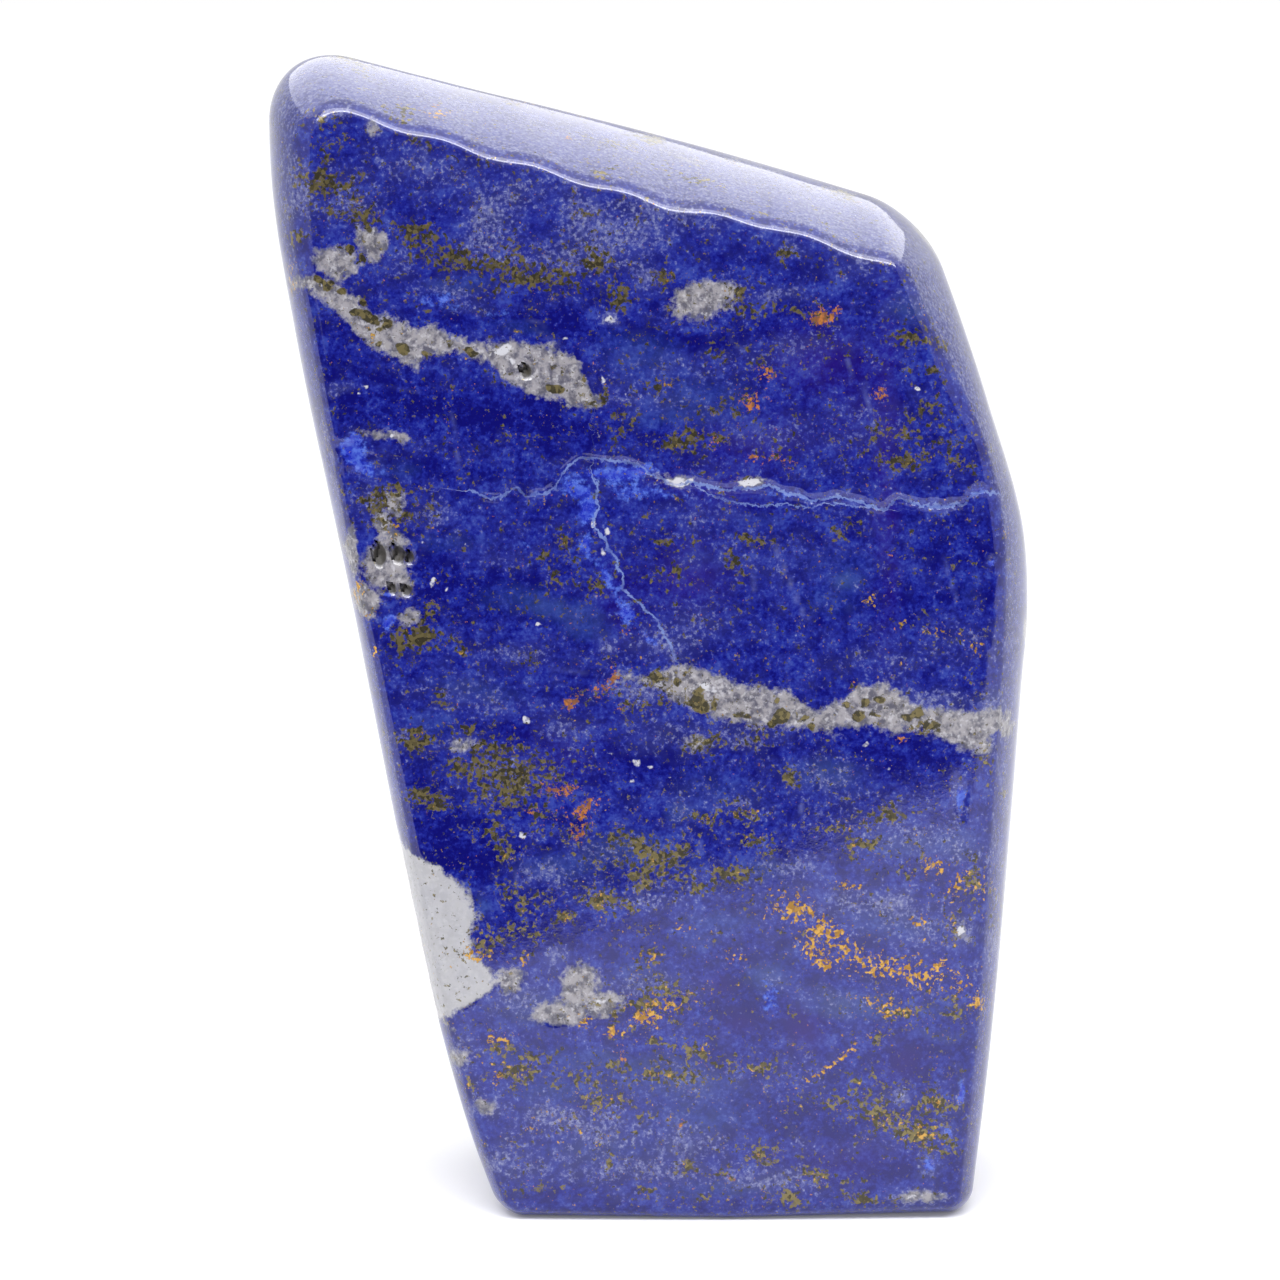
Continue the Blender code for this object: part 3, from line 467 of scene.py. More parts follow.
HAZE = (
    (-0.9, 83.9, 4.8, 2.5, -6, 0.4), (4.8, 79.2, 6.7, 2.5, -6, 0.4), (1.0, 77.3, 3.8, 1.1, 0, 0.4),
    (14.3, 73.5, 5.7, 1.1, 0, 0.2), (24.8, 87.8, 2.9, 1.5, 0, 0.55), (18.7, 62.3, 1.3, 0.8, 0, 0.9),
    (17.2, 60.1, 3.8, 1.9, 0, 0.3), (-8.5, 59.2, 4.2, 1.1, -12, 0.6), (-5.7, 57.3, 2.5, 1.3, 0, 0.4),
    (-12.3, 60.1, 4.8, 1.5, -10, 0.35), (-19.0, 65.8, 4.8, 1.0, 0, 0.35), (-23.8, 72.5, 2.9, 1.1, 0, 0.35),
    (-18.1, 90.1, 3.8, 1.0, 0, 0.45), (-12.3, 85.9, 3.8, 0.8, -6, 0.35), (18.2, 63.9, 5.7, 1.5, 0, 0.25),
    (23.9, 67.7, 5.7, 1.5, 0, 0.15), (10.5, 67.7, 3.8, 1.3, 0, 0.25), (4.8, 63.9, 3.2, 1.3, 0, 0.3),
    (-16.2, 51.5, 5.7, 1.3, -6, 0.35), (-20.9, 48.6, 2.9, 1.7, 0, 0.35), (6.7, 41.9, 5.7, 2.3, -8, 0.3),
    (17.2, 43.3, 3.8, 1.5, -8, 0.55), (2.9, 39.8, 1.5, 1.0, 0, 0.6), (-0.9, 36.1, 5.7, 1.9, -6, 0.55),
    (-8.5, 34.4, 4.2, 1.3, 0, 0.5), (10.5, 34.2, 2.9, 1.3, 0, 0.5), (23.9, 36.6, 5.7, 1.3, -6, 0.45),
    (29.6, 37.1, 2.9, 1.9, 0, 0.4), (19.1, 21.7, 4.8, 1.3, -4, 0.55), (11.5, 24.1, 2.5, 1.5, 0, 0.6),
    (14.3, 26.5, 1.9, 1.0, 0, 0.3), (23.9, 28.9, 5.7, 1.5, -8, 0.45), (20.1, 20.7, 4.8, 1.0, -4, 0.5),
    (-10.4, 20.7, 4.8, 1.9, 0, 0.5), (-4.7, 15.9, 7.6, 1.3, -4, 0.5), (3.9, 13.5, 5.7, 2.1, -4, 0.5),
    (4.8, 10.1, 5.7, 1.7, 0, 0.45), (-8.5, 13.0, 5.7, 1.5, 0, 0.5), (-4.7, 7.2, 7.6, 1.5, 0, 0.35),
    (6.7, 3.3, 7.6, 1.1, 0, 0.45), (-14.2, 15.9, 1.9, 1.3, 0, 0.35), (-0.9, 24.5, 3.8, 1.9, 0, 0.35),
    (6.7, 29.4, 3.8, 1.1, 0, 0.45), (32.4, 48.6, 1.5, 2.9, 0, 0.45), (30.5, 61.1, 1.9, 3.8, 0, 0.2),
    (28.6, 20.7, 2.9, 1.0, 0, 0.35), (27.7, 18.3, 3.8, 0.8, -4, 0.35), (4.8, 27.4, 2.9, 1.3, 0, 0.3),
    (-16.2, 30.8, 1.0, 1.3, 0, 0.5), (-28.1, 51.5, 1.3, 5.7, -10, 0.3),
)
DEEP = (
    (-16.2, 77.8, 7.6, 1.9, -4, 0.9), (-23.8, 79.2, 5.7, 2.1, -6, 0.8), (-29.5, 83.9, 2.3, 2.9, 0, 0.6),
    (-8.5, 76.3, 4.8, 1.0, -4, 0.6), (-8.5, 86.3, 8.6, 0.9, -6, 0.8), (-19.0, 86.8, 3.8, 1.0, -4, 0.6),
    (4.8, 84.9, 4.8, 1.0, -5, 0.7), (-17.1, 98.2, 2.5, 1.9, 0, 0.35), (-20.9, 62.5, 3.4, 2.9, 0, 0.6),
    (-14.2, 61.1, 4.8, 2.3, -8, 0.6), (-12.3, 55.4, 5.7, 0.6, -4, 0.3), (23.9, 60.1, 5.7, 2.3, 0, 0.35),
    (-0.9, 60.1, 3.8, 2.5, 0, 0.35), (6.7, 55.4, 6.7, 1.1, 0, 0.45), (20.1, 46.7, 4.8, 1.5, -4, 0.7),
    (26.7, 44.8, 4.2, 1.7, 0, 0.8), (-0.9, 44.8, 4.8, 2.1, 0, 0.6), (10.5, 45.8, 3.8, 1.1, 0, 0.55),
    (-18.1, 35.1, 4.2, 2.1, -10, 0.95), (-8.5, 36.1, 2.9, 1.3, 0, 0.4), (-20.0, 38.5, 3.8, 1.5, 0, 0.6),
    (14.3, 36.6, 4.2, 1.1, -4, 0.45), (-8.5, 28.4, 5.7, 1.0, 0, 0.6), (9.1, 21.7, 3.2, 3.2, -30, 0.85),
    (13.4, 19.7, 4.2, 2.3, 0, 0.8), (25.8, 15.7, 4.6, 2.1, 0, 0.95), (13.9, 10.3, 3.4, 1.7, 0, 0.9),
    (18.6, 9.1, 2.9, 1.3, 0, 0.6), (22.0, 5.3, 5.7, 1.3, 0, 0.75), (29.6, 4.3, 1.3, 2.5, 0, 0.6),
    (-8.5, 16.8, 2.9, 0.8, 0, 0.4), (-4.7, 27.4, 5.7, 1.5, 0, 0.6), (1.0, 30.3, 1.9, 0.8, 0, 0.2),
    (-11.4, 47.2, 2.9, 1.5, 0, 0.45), (21.0, 50.6, 2.9, 0.8, 0, 0.2), (32.4, 60.1, 1.3, 3.8, 0, 0.3),
    (2.0, 34.2, 1.1, 0.6, 0, 0.2), (-29.5, 78.2, 2.9, 1.5, 0, 0.55), (29.6, 65.8, 3.2, 2.9, 0, 0.45),
    (-16.2, 72.5, 5.7, 1.1, 0, 0.5), (-9.5, 2.9, 4.8, 0.8, 0, 0.45), (18.2, 81.6, 2.9, 2.1, 0, 0.4),
    (10.5, 85.9, 5.7, 0.8, 0, 0.4), (26.7, 7.2, 1.3, 1.0, 0, 0.3), (1.0, 21.7, 2.9, 1.0, 0, 0.15),
)
# Not a mineral: violet tints where the polished front mirrored something in the room, painted on as a reflection.
PAINTED_VIOLET_REFLECTIONS = (
    (3.9, 62.5, 3.2, 2.9, 0, 0.8), (16.2, 83.0, 4.2, 2.9, 0, 0.8), (10.5, 75.4, 4.8, 2.5, 0, 0.6),
    (7.2, 70.6, 3.8, 1.9, 0, 0.5), (22.5, 72.5, 1.1, 16.2, 0, 0.7), (2.0, 71.6, 2.9, 1.0, 0, 0.3),
    (-2.8, 60.1, 2.5, 3.8, 0, 0.35), (14.8, 19.0, 2.1, 2.3, 0, 0.9), (8.8, 19.2, 1.9, 1.3, 0, 0.7),
    (6.5, 23.1, 1.7, 1.0, -40, 0.6), (24.3, 15.7, 2.1, 1.9, 0, 0.7), (-8.5, 45.8, 3.8, 2.9, 0, 0.3),
    (19.1, 6.2, 5.7, 1.9, 0, 0.5), (31.5, 8.2, 1.0, 5.7, 0, 0.5), (20.1, 78.2, 2.9, 3.8, 0, 0.35),
)
WHITE_SPOTS = (
    (-3.7, 86.8, 0.6, 0.4, 0, 0.9), (2.4, 82.1, 0.3, 0.2, 0, 1), (25.3, 80.3, 0.3, 0.2, 0, 0.8),
    (-14.0, 83.8, 0.6, 0.5, 0, 1), (-13.1, 82.8, 0.4, 0.4, 0, 0.8), (1.8, 71.8, 0.4, 0.2, 0, 0.7),
    (2.8, 71.8, 0.5, 0.4, 0, 1), (3.8, 71.7, 0.5, 0.3, 0, 1), (2.3, 71.4, 0.8, 0.2, 0, 0.7),
    (9.0, 71.3, 0.7, 0.3, 0, 1), (10.2, 71.3, 0.9, 0.2, 0, 1), (-4.2, 67.0, 0.3, 0.5, 0, 1),
    (-5.1, 67.5, 0.3, 0.6, 0, 0.7), (-3.9, 64.7, 0.3, 0.8, 0, 0.6), (5.2, 51.6, 0.7, 0.4, 0, 1),
    (6.3, 51.3, 0.6, 0.4, 0, 0.7), (9.5, 51.0, 0.5, 0.4, 0, 0.5), (14.2, 48.4, 0.5, 0.5, 0, 0.7),
    (17.1, 48.9, 0.7, 0.5, 0, 0.35), (20.7, 52.0, 0.8, 0.5, 0, 0.4), (22.8, 49.4, 0.3, 0.2, 0, 0.9),
    (29.4, 47.2, 0.5, 0.7, 30, 0.5), (-11.5, 48.7, 0.4, 0.3, 0, 0.7), (-12.0, 49.0, 0.4, 0.3, 0, 0.6),
    (-3.6, 45.5, 0.4, 0.3, 0, 0.95), (-1.4, 44.7, 0.5, 0.5, 0, 0.95), (0.2, 44.1, 0.3, 0.2, 0, 0.9),
    (-1.7, 43.1, 0.4, 0.2, 0, 0.75), (2.1, 42.9, 0.3, 0.2, 0, 0.9), (-2.6, 46.6, 0.2, 0.2, 0, 0.4),
    (-12.0, 37.4, 0.3, 0.3, 0, 0.9), (30.3, 28.2, 0.5, 0.4, 0, 1), (-9.7, 105.9, 1.5, 0.7, -10, 0.8),
    (-4.7, 21.7, 1.3, 0.5, -4, 0.55), (-6.8, 22.0, 0.8, 0.3, 0, 0.35), (-30.0, 81.1, 0.2, 0.2, 0, 0.8),
    (-27.4, 80.9, 0.3, 0.3, 0, 0.9), (-27.8, 79.9, 0.2, 0.2, 0, 0.7), (-24.7, 75.5, 0.2, 0.2, 0, 0.9),
    (-21.7, 75.6, 0.2, 0.3, 0, 0.7), (-18.3, 74.6, 0.2, 0.2, 0, 0.5), (-10.1, 76.1, 0.2, 0.2, 0, 0.6),
    (-13.4, 75.7, 0.2, 0.2, 0, 0.5), (-29.5, 72.5, 0.2, 0.2, 0, 0.6), (-20.7, 62.1, 0.3, 0.3, 0, 0.85),
    (-21.7, 65.8, 0.2, 0.2, 0, 0.8), (-19.4, 61.1, 0.2, 0.2, 0, 0.9), (-17.6, 65.7, 0.2, 0.2, 0, 0.8),
    (-10.0, 57.8, 0.3, 0.2, 0, 0.9), (-11.1, 54.4, 0.3, 0.2, 0, 0.6), (-12.9, 49.4, 0.2, 0.2, 0, 0.9),
    (-11.4, 50.6, 0.2, 0.4, 0, 0.4), (-8.5, 47.9, 0.3, 0.4, 0, 0.35), (20.7, 46.1, 0.4, 0.2, 30, 0.7),
    (22.8, 44.2, 0.3, 0.2, 0, 0.8), (7.2, 64.6, 0.2, 0.2, 0, 0.9), (-4.7, 76.1, 0.3, 0.2, 0, 0.7),
    (-2.0, 79.7, 0.3, 0.3, 0, 0.6), (-1.7, 81.9, 0.3, 0.2, 0, 0.5), (-4.2, 81.3, 0.5, 0.2, 0, 0.8),
    (3.9, 85.6, 0.2, 0.2, 0, 0.6), (0.2, 85.7, 0.2, 0.2, 0, 0.5), (-8.1, 84.9, 0.3, 0.2, 0, 0.6),
    (-5.7, 84.7, 0.2, 0.1, 0, 0.5), (20.9, 82.9, 0.3, 0.3, 0, 0.5), (8.7, 5.8, 0.2, 0.2, 0, 0.5),
    (24.2, 12.7, 0.4, 0.2, -20, 0.6), (24.6, 9.3, 0.3, 0.2, 0, 0.6), (23.7, 8.6, 0.2, 0.2, 0, 0.6),
    (25.6, 2.1, 1.5, 0.3, -5, 0.5), (10.9, 19.6, 0.2, 0.2, 0, 0.4), (11.6, 19.5, 0.2, 0.2, 0, 0.5),
    (3.6, 41.4, 0.2, 0.2, 0, 0.6), (6.0, 37.8, 0.3, 0.2, 0, 0.4), (-4.7, 9.7, 0.4, 0.3, 0, 0.35),
    (-23.9, 50.6, 0.2, 0.2, 0, 0.5),
)
AZURE = (
    (-28.4, 73.9, 1.5, 1.5, 0, 0.7), (-29.0, 74.7, 0.8, 0.6, 0, 0.6), (-20.9, 74.9, 1.0, 0.5, 0, 0.25),
    (-27.1, 72.5, 1.9, 0.8, -15, 0.55), (-29.0, 70.6, 1.3, 1.1, 0, 0.35), (-28.1, 75.4, 0.7, 0.5, 0, 0.8),
    (-4.7, 72.2, 2.9, 0.7, 0, 0.8), (-7.1, 70.6, 1.5, 0.8, -30, 0.8), (-0.9, 72.5, 2.5, 0.7, 0, 0.75),
    (-2.3, 70.6, 2.5, 1.3, 0, 0.45), (-6.1, 68.7, 0.8, 1.3, 10, 0.75), (-5.7, 65.4, 0.8, 1.7, 12, 0.75),
    (-4.1, 62.2, 0.8, 1.7, 30, 0.7), (-1.9, 59.2, 0.9, 1.7, 40, 0.7), (0.2, 56.5, 0.8, 1.3, 45, 0.6),
    (1.0, 70.4, 2.3, 0.7, 0, 0.4), (4.8, 69.7, 3.2, 0.5, -8, 0.3), (13.4, 70.4, 2.9, 0.5, -8, 0.45),
    (19.1, 69.5, 1.9, 0.4, -8, 0.4), (-24.5, 58.0, 0.5, 0.5, 0, 0.9), (-25.2, 60.4, 0.5, 0.4, 0, 0.8),
    (32.4, 63.7, 0.5, 0.6, 0, 0.8), (29.7, 41.2, 0.4, 1.3, 0, 0.9), (30.0, 12.7, 0.4, 1.5, 0, 0.9),
    (28.5, 8.3, 0.8, 1.1, 0, 0.7), (27.1, 5.5, 0.9, 1.1, 0, 0.6), (31.4, 70.4, 1.3, 0.5, 0, 0.5),
    (-14.2, 61.6, 1.3, 0.6, 0, 0.3), (-12.3, 65.1, 1.9, 0.8, 0, 0.35), (-8.5, 59.9, 2.9, 0.6, 0, 0.2),
    (2.1, 22.6, 1.0, 0.5, 0, 0.4),
    (34.4, 62.0, 0.4, 2.9, 0, 0.35), (6.2, 52.4, 0.6, 0.3, 0, 0.5), (9.6, 52.3, 0.5, 0.3, 0, 0.6),
    (-20.0, 88.7, 2.9, 0.8, -4, 0.5), (-14.2, 87.3, 3.8, 0.7, -6, 0.35), (-30.0, 81.1, 1.0, 0.8, 0, 0.2),
    (-16.2, 20.7, 1.9, 1.3, 0, 0.25), (5.3, 20.7, 1.1, 1.9, 0, 0.3), (11.5, 21.7, 1.3, 2.5, 0, 0.5),
)

# %% Veins, hard patches, grains, cracks
UPPER_VEIN = (
    (-34.5, 90.5, 0.4), (-33.3, 90.3, 0.6), (-31.9, 90.0, 0.9), (-28.7, 88.2, 1.5), (-26.6, 86.3, 1.6),
    (-24.4, 85.3, 1.8), (-22.3, 84.1, 1.8), (-20.3, 84.9, 1.3), (-18.7, 84.0, 0.7), (-17.0, 83.9, 0.6),
    (-14.9, 83.7, 0.8), (-13.9, 82.9, 1.7), (-11.7, 82.1, 2.2), (-9.6, 81.9, 2.4), (-7.5, 81.1, 2.3),
    (-6.0, 79.8, 1.3), (-4.9, 79.2, 0.5),
)
LOWER_VEIN = (
    (-3.0, 52.9, 0.3), (-0.9, 52.5, 0.4), (0.5, 52.4, 0.7), (2.5, 52.3, 1.8), (5.2, 51.4, 2.0),
    (7.9, 50.4, 2.0), (10.5, 50.0, 1.9), (13.2, 49.6, 1.8), (15.9, 48.5, 1.0), (18.1, 49.0, 1.1),
    (19.9, 49.8, 2.2), (22.6, 49.9, 2.3), (25.3, 49.1, 1.3), (28.0, 48.3, 1.3), (30.6, 47.6, 1.9),
    (32.7, 48.0, 1.3), (34.4, 48.5, 0.8),
)
WHITE_BLOCK = (
    (-24.5, 37.5), (-23.6, 36.5), (-21.4, 35.3), (-20.0, 34.6), (-18.7, 33.6), (-17.7, 32.1),
    (-17.0, 30.8), (-16.5, 29.1), (-17.1, 27.4), (-16.7, 26.0), (-15.4, 25.0), (-14.7, 24.1),
    (-14.8, 22.6), (-16.2, 21.7), (-17.1, 21.3), (-18.2, 20.7), (-19.5, 19.9), (-21.4, 19.0),
)
CALCITE_PATCHES = (
    (-25.3, 63.4, 1.91, 2.00, 0), (-26.9, 59.9, 1.24, 1.62, 0), (-22.9, 58.5, 1.14, 0.76, 0),
    (-24.0, 62.0, 1.14, 1.52, 0), (-28.4, 64.3, 0.76, 2.29, 0), (4.8, 88.7, 2.86, 1.72, 8),
    (6.9, 89.7, 1.33, 0.95, 0), (-29.9, 92.2, 2.10, 1.33, -8), (-26.4, 94.0, 1.43, 1.62, 20),
    (-8.3, 20.5, 3.05, 1.24, 8), (-6.6, 23.1, 1.62, 2.10, -15), (-4.3, 21.4, 2.10, 1.14, 0),
    (-13.5, 23.5, 1.33, 1.14, 0), (4.4, 46.3, 1.05, 0.67, 10), (29.4, 47.6, 1.33, 0.86, -30),
    (31.9, 46.1, 0.95, 0.67, 0), (-24.3, 75.7, 1.33, 0.48, -14), (-26.4, 75.8, 1.33, 0.29, -8),
    (2.7, 71.8, 1.33, 0.48, 0), (9.8, 71.3, 1.33, 0.38, 0), (-17.8, 46.5, 1.14, 0.48, 0),
    (-26.4, 104.8, 0.48, 0.95, 0), (-32.2, 110.3, 1.14, 0.57, 0), (-9.7, 105.8, 1.52, 0.67, -10),
    (25.8, 2.2, 2.10, 0.48, -5), (-19.9, 19.0, 0.67, 0.24, -15), (30.4, 28.1, 0.57, 0.76, 30),
    (-18.4, 15.7, 0.76, 1.52, -60), (-16.0, 11.4, 0.76, 0.86, 0), (-24.2, 69.2, 0.86, 1.14, 0),
    (-25.7, 67.7, 0.86, 1.33, 20), (-24.5, 65.8, 1.14, 0.86, 0),
)
GRAINS = (
    (2.9, 52.3, 0.43, 0.38, -30), (4.7, 50.3, 0.86, 0.71, -30), (6.2, 50.2, 0.38, 0.57, 0),
    (9.0, 49.1, 0.38, 0.38, 0), (11.9, 50.5, 0.38, 0.38, 0), (12.5, 48.8, 0.95, 0.76, 10),
    (11.8, 48.2, 0.57, 0.48, 0), (15.0, 48.8, 0.38, 0.38, 0), (15.8, 47.9, 0.33, 0.48, 0),
    (18.6, 49.9, 0.48, 0.33, -20), (20.8, 50.2, 0.57, 0.62, 0), (22.2, 50.6, 0.43, 0.43, 0),
    (20.1, 48.7, 0.81, 0.52, 0), (21.8, 48.8, 0.57, 0.24, -15), (24.4, 49.1, 0.67, 0.43, 5),
    (25.4, 49.5, 0.48, 0.48, 0), (19.1, 51.8, 0.33, 0.29, -40), (-29.1, 89.5, 0.48, 0.38, 0),
    (-30.8, 89.8, 0.57, 0.38, 0), (-31.7, 90.5, 0.67, 0.48, -20), (-26.5, 87.2, 0.95, 0.57, -25),
    (-27.7, 87.6, 0.48, 0.38, 0), (-24.6, 86.5, 0.57, 0.48, 0), (-23.2, 84.1, 0.67, 0.57, 0),
    (-25.4, 84.8, 0.38, 0.29, -30), (-23.8, 84.2, 0.29, 0.29, 0), (-18.8, 84.3, 0.29, 0.29, 0),
    (-16.9, 83.7, 0.67, 0.33, 0), (-11.8, 81.9, 0.33, 0.33, 0), (-13.3, 81.9, 0.29, 0.24, 0),
    (-8.9, 80.5, 0.86, 0.57, -15), (-28.4, 93.1, 0.29, 0.48, 30), (-27.4, 92.4, 0.33, 0.38, 0),
    (-21.6, 83.0, 0.24, 0.48, 0), (-24.1, 71.0, 0.24, 0.67, 10), (-30.4, 90.4, 0.48, 0.29, -20),
    (-25.6, 86.2, 0.48, 0.29, -20), (-27.0, 88.5, 0.38, 0.29, 0), (5.0, 51.2, 0.29, 0.29, 0),
    (8.1, 49.0, 0.33, 0.29, 0), (0.4, 52.5, 0.48, 0.29, 0), (1.3, 52.2, 0.38, 0.29, 0),
)
CRACK = (
    (-17.2, 70.6), (-15.3, 69.9), (-14.1, 69.9), (-12.6, 70.8), (-11.7, 70.2), (-10.0, 70.4), (-8.7, 71.0),
    (-8.3, 72.5), (-7.5, 73.4), (-6.7, 73.8), (-5.6, 73.6), (-4.3, 73.5), (-2.4, 73.4), (-1.2, 73.1),
    (0.3, 72.0), (1.5, 71.4), (3.6, 71.3), (5.1, 71.1), (7.3, 70.6), (10.9, 71.1), (12.7, 70.6),
    (15.5, 69.6), (16.7, 69.8), (17.9, 70.1), (19.4, 69.8), (22.4, 68.8), (23.7, 69.6), (25.8, 69.1),
    (27.9, 69.2), (29.8, 69.4), (30.5, 70.0), (31.9, 70.5), (33.3, 70.3),
)
LENS = (
    (4.8, 70.9), (5.8, 70.1), (8.5, 69.4), (10.9, 69.1), (12.7, 69.3), (15.3, 69.0), (16.8, 69.4),
    (19.1, 69.2), (22.4, 68.8),
)
BRANCH = (
    (-5.3, 72.3), (-4.6, 70.8), (-5.0, 68.3), (-5.2, 67.1), (-4.0, 65.3), (-3.2, 64.1), (-2.8, 61.9),
    (-1.4, 60.1), (-0.5, 59.2), (0.9, 58.0), (1.5, 56.5), (2.7, 54.3),
)
SCRATCHES = (
    (18.8, 83.0, 19.2, 80.9, 0.6),
    (20.4, 80.9, 20.9, 78.1, 0.6),
    (7.7, 86.0, 7.9, 84.8, 0.6),
    (11.9, 65.4, 14.9, 58.2, 0.7),
    (9.8, 64.9, 10.0, 61.1, 0.35),
    (28.0, 64.4, 28.4, 62.5, 0.4),
    (28.8, 62.0, 29.2, 60.1, 0.6),
    (16.3, 43.9, 17.2, 41.0, 0.5),
    (14.4, 40.7, 14.7, 39.4, 0.8),
    (23.9, 40.2, 24.1, 39.2, 0.8),
    (12.0, 38.1, 13.3, 36.6, 0.35),
    (33.3, 45.0, 34.0, 41.5, 0.6),
    (3.9, 7.9, 4.2, 7.0, 0.8),
    (-9.5, 53.8, -6.1, 53.3, 0.9),
    (-21.5, 103.2, -21.3, 102.2, 0.9),
    (-21.4, 102.1, -21.0, 100.5, 0.9),
    (33.9, 55.8, 34.8, 56.2, 0.8),
    (34.8, 56.2, 35.9, 55.7, 0.8),
    (-18.3, 74.5, -18.2, 72.5, 0.5),
    (-18.8, 77.8, -18.4, 75.4, 0.35),
    (8.4, 84.2, 9.1, 83.9, 0.7),
    (-11.7, 87.0, -10.0, 86.3, 0.4),
    (-10.9, 85.9, -8.5, 84.4, 0.3),
    (-4.9, 98.2, -4.7, 94.0, 0.35),
    (-6.4, 97.3, -6.3, 94.9, 0.35),
    (-14.2, 97.8, -14.0, 94.4, 0.25),
    (-20.9, 101.6, -20.6, 100.2, 0.4),
    (-26.6, 80.6, -21.9, 79.9, 0.2),
    (-0.8, 33.5, -0.6, 31.3, 0.4),
    (4.8, 37.1, 5.4, 34.2, 0.4),
    (33.4, 28.4, 32.0, 26.0, 0.5),
    (31.0, 28.9, 32.7, 27.8, 0.6),
    (-12.8, 34.2, -12.7, 31.8, 0.3),
    (1.0, 9.1, 1.1, 6.2, 0.3),
)

# %% [markdown]
# ## Places on the front
# The patches are placed where the front face shows them, as a side and a height in millimetres, and go on into
# the stone. Their own coordinates are bent by noise, so that an ellipse turns into a ragged patch, more
# so with depth: near the front they are where they are put, and further back they wander.

# %% Coordinates of the minerals
DRIP = np.tan(np.radians(9))
depth = np.clip(skin[:, 1] - front_y(skin[:, 0], skin[:, 2]), 0, None)
wander = 0.55 + 0.12 * depth
bend_x = wander * (noise(skin, 2.6, 1) + 0.5 * noise(skin, 0.9, 2, 2))
bend_z = wander * (noise(skin, 2.6, 3) + 0.5 * noise(skin, 0.9, 4, 2))
side = skin[:, 0] / (1 + depth / 618) + bend_x
height = skin[:, 2] + DRIP * depth + bend_z


def patches_of(places, reach=14.0, sharp=2.0):
    """Many soft ellipses over each other: amount * exp(-r^sharp), r = 1 on the ellipse, fading with depth."""
    total = np.zeros(len(skin))
    fade = np.exp(-((depth / reach) ** 2))
    for x, z, half_width, half_height, tilt, amount in places:
        cos, sin = np.cos(np.radians(tilt)), np.sin(np.radians(tilt))
        dx, dz = side - x, height - z
        along, above = (dx * cos + dz * sin) / half_width, (dz * cos - dx * sin) / half_height
        ellipse = np.clip(amount, 0, 0.98) * np.exp(-((along**2 + above**2) ** (sharp / 2)))
        total = 1 - (1 - total) * (1 - ellipse)
    return total * fade


# %% [markdown]
# ## Veins and hard edges
# A soft amount is right for dust, but a calcite vein has a border. For those the mesh carries a signed
# distance in millimetres, above zero inside. It changes evenly from point to point, so the shader can add
# finer noise to it and cut it at zero, and the border comes out sharper than the mesh lines are apart.


# %% Distances to veins, patches and cracks
def vein(knots, drift=0.0, depth_roughness=0.05):
    """Inside a vein: its half height minus how far a point is from its middle line, above zero inside."""
    at, middle, half = np.array(knots).T
    line = np.interp(side, at, middle) + drift * depth
    beyond = np.maximum(np.maximum(at[0] - side, side - at[-1]), 0)
    return np.interp(side, at, half) - np.abs(height - line) - beyond


def blobs(places):
    """The largest of many ellipses as a distance: mean radius * (1 - r), less the square of the depth."""
    best = np.full(len(skin), -4.0)
    for x, z, half_width, half_height, tilt in places:
        cos, sin = np.cos(np.radians(tilt)), np.sin(np.radians(tilt))
        dx, dz = side - x, height - z
        r = np.hypot((dx * cos + dz * sin) / half_width, (dz * cos - dx * sin) / half_height)
        size = np.sqrt(half_width * half_height)
        best = np.maximum(best, size * (1 - r) - depth**2 / (30 * size + 20))
    return best


def above_line(knots, ragged=0.0, seed=0):
    """Height over a line that runs across the face, in millimetres, with a ragged edge."""
    at, middle = np.array(knots).T
    wobble = ragged * noise(skin, 1.3, seed, 3)
    outside_ends = np.maximum(np.maximum(at[0] - skin[:, 0], skin[:, 0] - at[-1]), 0)
    offset = flat_height - np.interp(skin[:, 0], at, middle) + wobble
    return offset + np.sign(offset) * outside_ends * 2


def left_of_line(knots, ragged=0.0, seed=0):
    """Side distance to a line that runs up the face, in millimetres."""
    middle, at = np.array(knots)[::-1].T
    wobble = ragged * noise(skin, 1.3, seed, 3)
    outside_ends = np.maximum(np.maximum(at[0] - flat_height, flat_height - at[-1]), 0)
    offset = skin[:, 0] - np.interp(flat_height, at, middle) + wobble
    return offset + np.sign(offset) * outside_ends * 2


def strokes(lines, width=0.13):
    """Thin straight marks: strength * exp(-(distance / width)^2) from each, strongest first."""
    best = np.zeros(len(skin))
    for x0, z0, x1, z1, strength in lines:
        run, rise = x1 - x0, z1 - z0
        t = np.clip(((skin[:, 0] - x0) * run + (flat_height - z0) * rise) / (run**2 + rise**2), 0, 1)
        distance = np.hypot(skin[:, 0] - x0 - t * run, flat_height - z0 - t * rise)
        best = np.maximum(best, strength * np.exp(-((distance / width) ** 2)))
    return best * near_front


flat_height = skin[:, 2] + DRIP * depth
near_front = np.exp(-((depth / 6) ** 2))

# Painted highlight: edges that turn up and away from the front are made pale. This stands in for the lamps'
# reflection along the upper crease and the band above it, and it is laid into the pale dust layer.
turned_from_front = np.clip(1.5 * (0.95 + normals[:, 1]), 0, 1)
turned_up = np.clip(normals[:, 2] + 0.45, 0, 1)
painted_edge_highlight = turned_from_front * turned_up * np.exp(-((depth / 14) ** 2))
dust_and_edge_sheen = np.maximum(patches_of(PALE_DUST), 0.85 * painted_edge_highlight)
dark = patches_of(DARK_SPECKS, sharp=1.4)
gold = patches_of(GOLD_SPECKS, sharp=1.5)
rust = patches_of(RUST)
haze = patches_of(HAZE)
deep = patches_of(DEEP)
painted_violet_reflection = patches_of(PAINTED_VIOLET_REFLECTIONS)
white = patches_of(WHITE_SPOTS, reach=3.0)
azure = patches_of(AZURE, reach=5.0)
scratch = strokes(SCRATCHES)

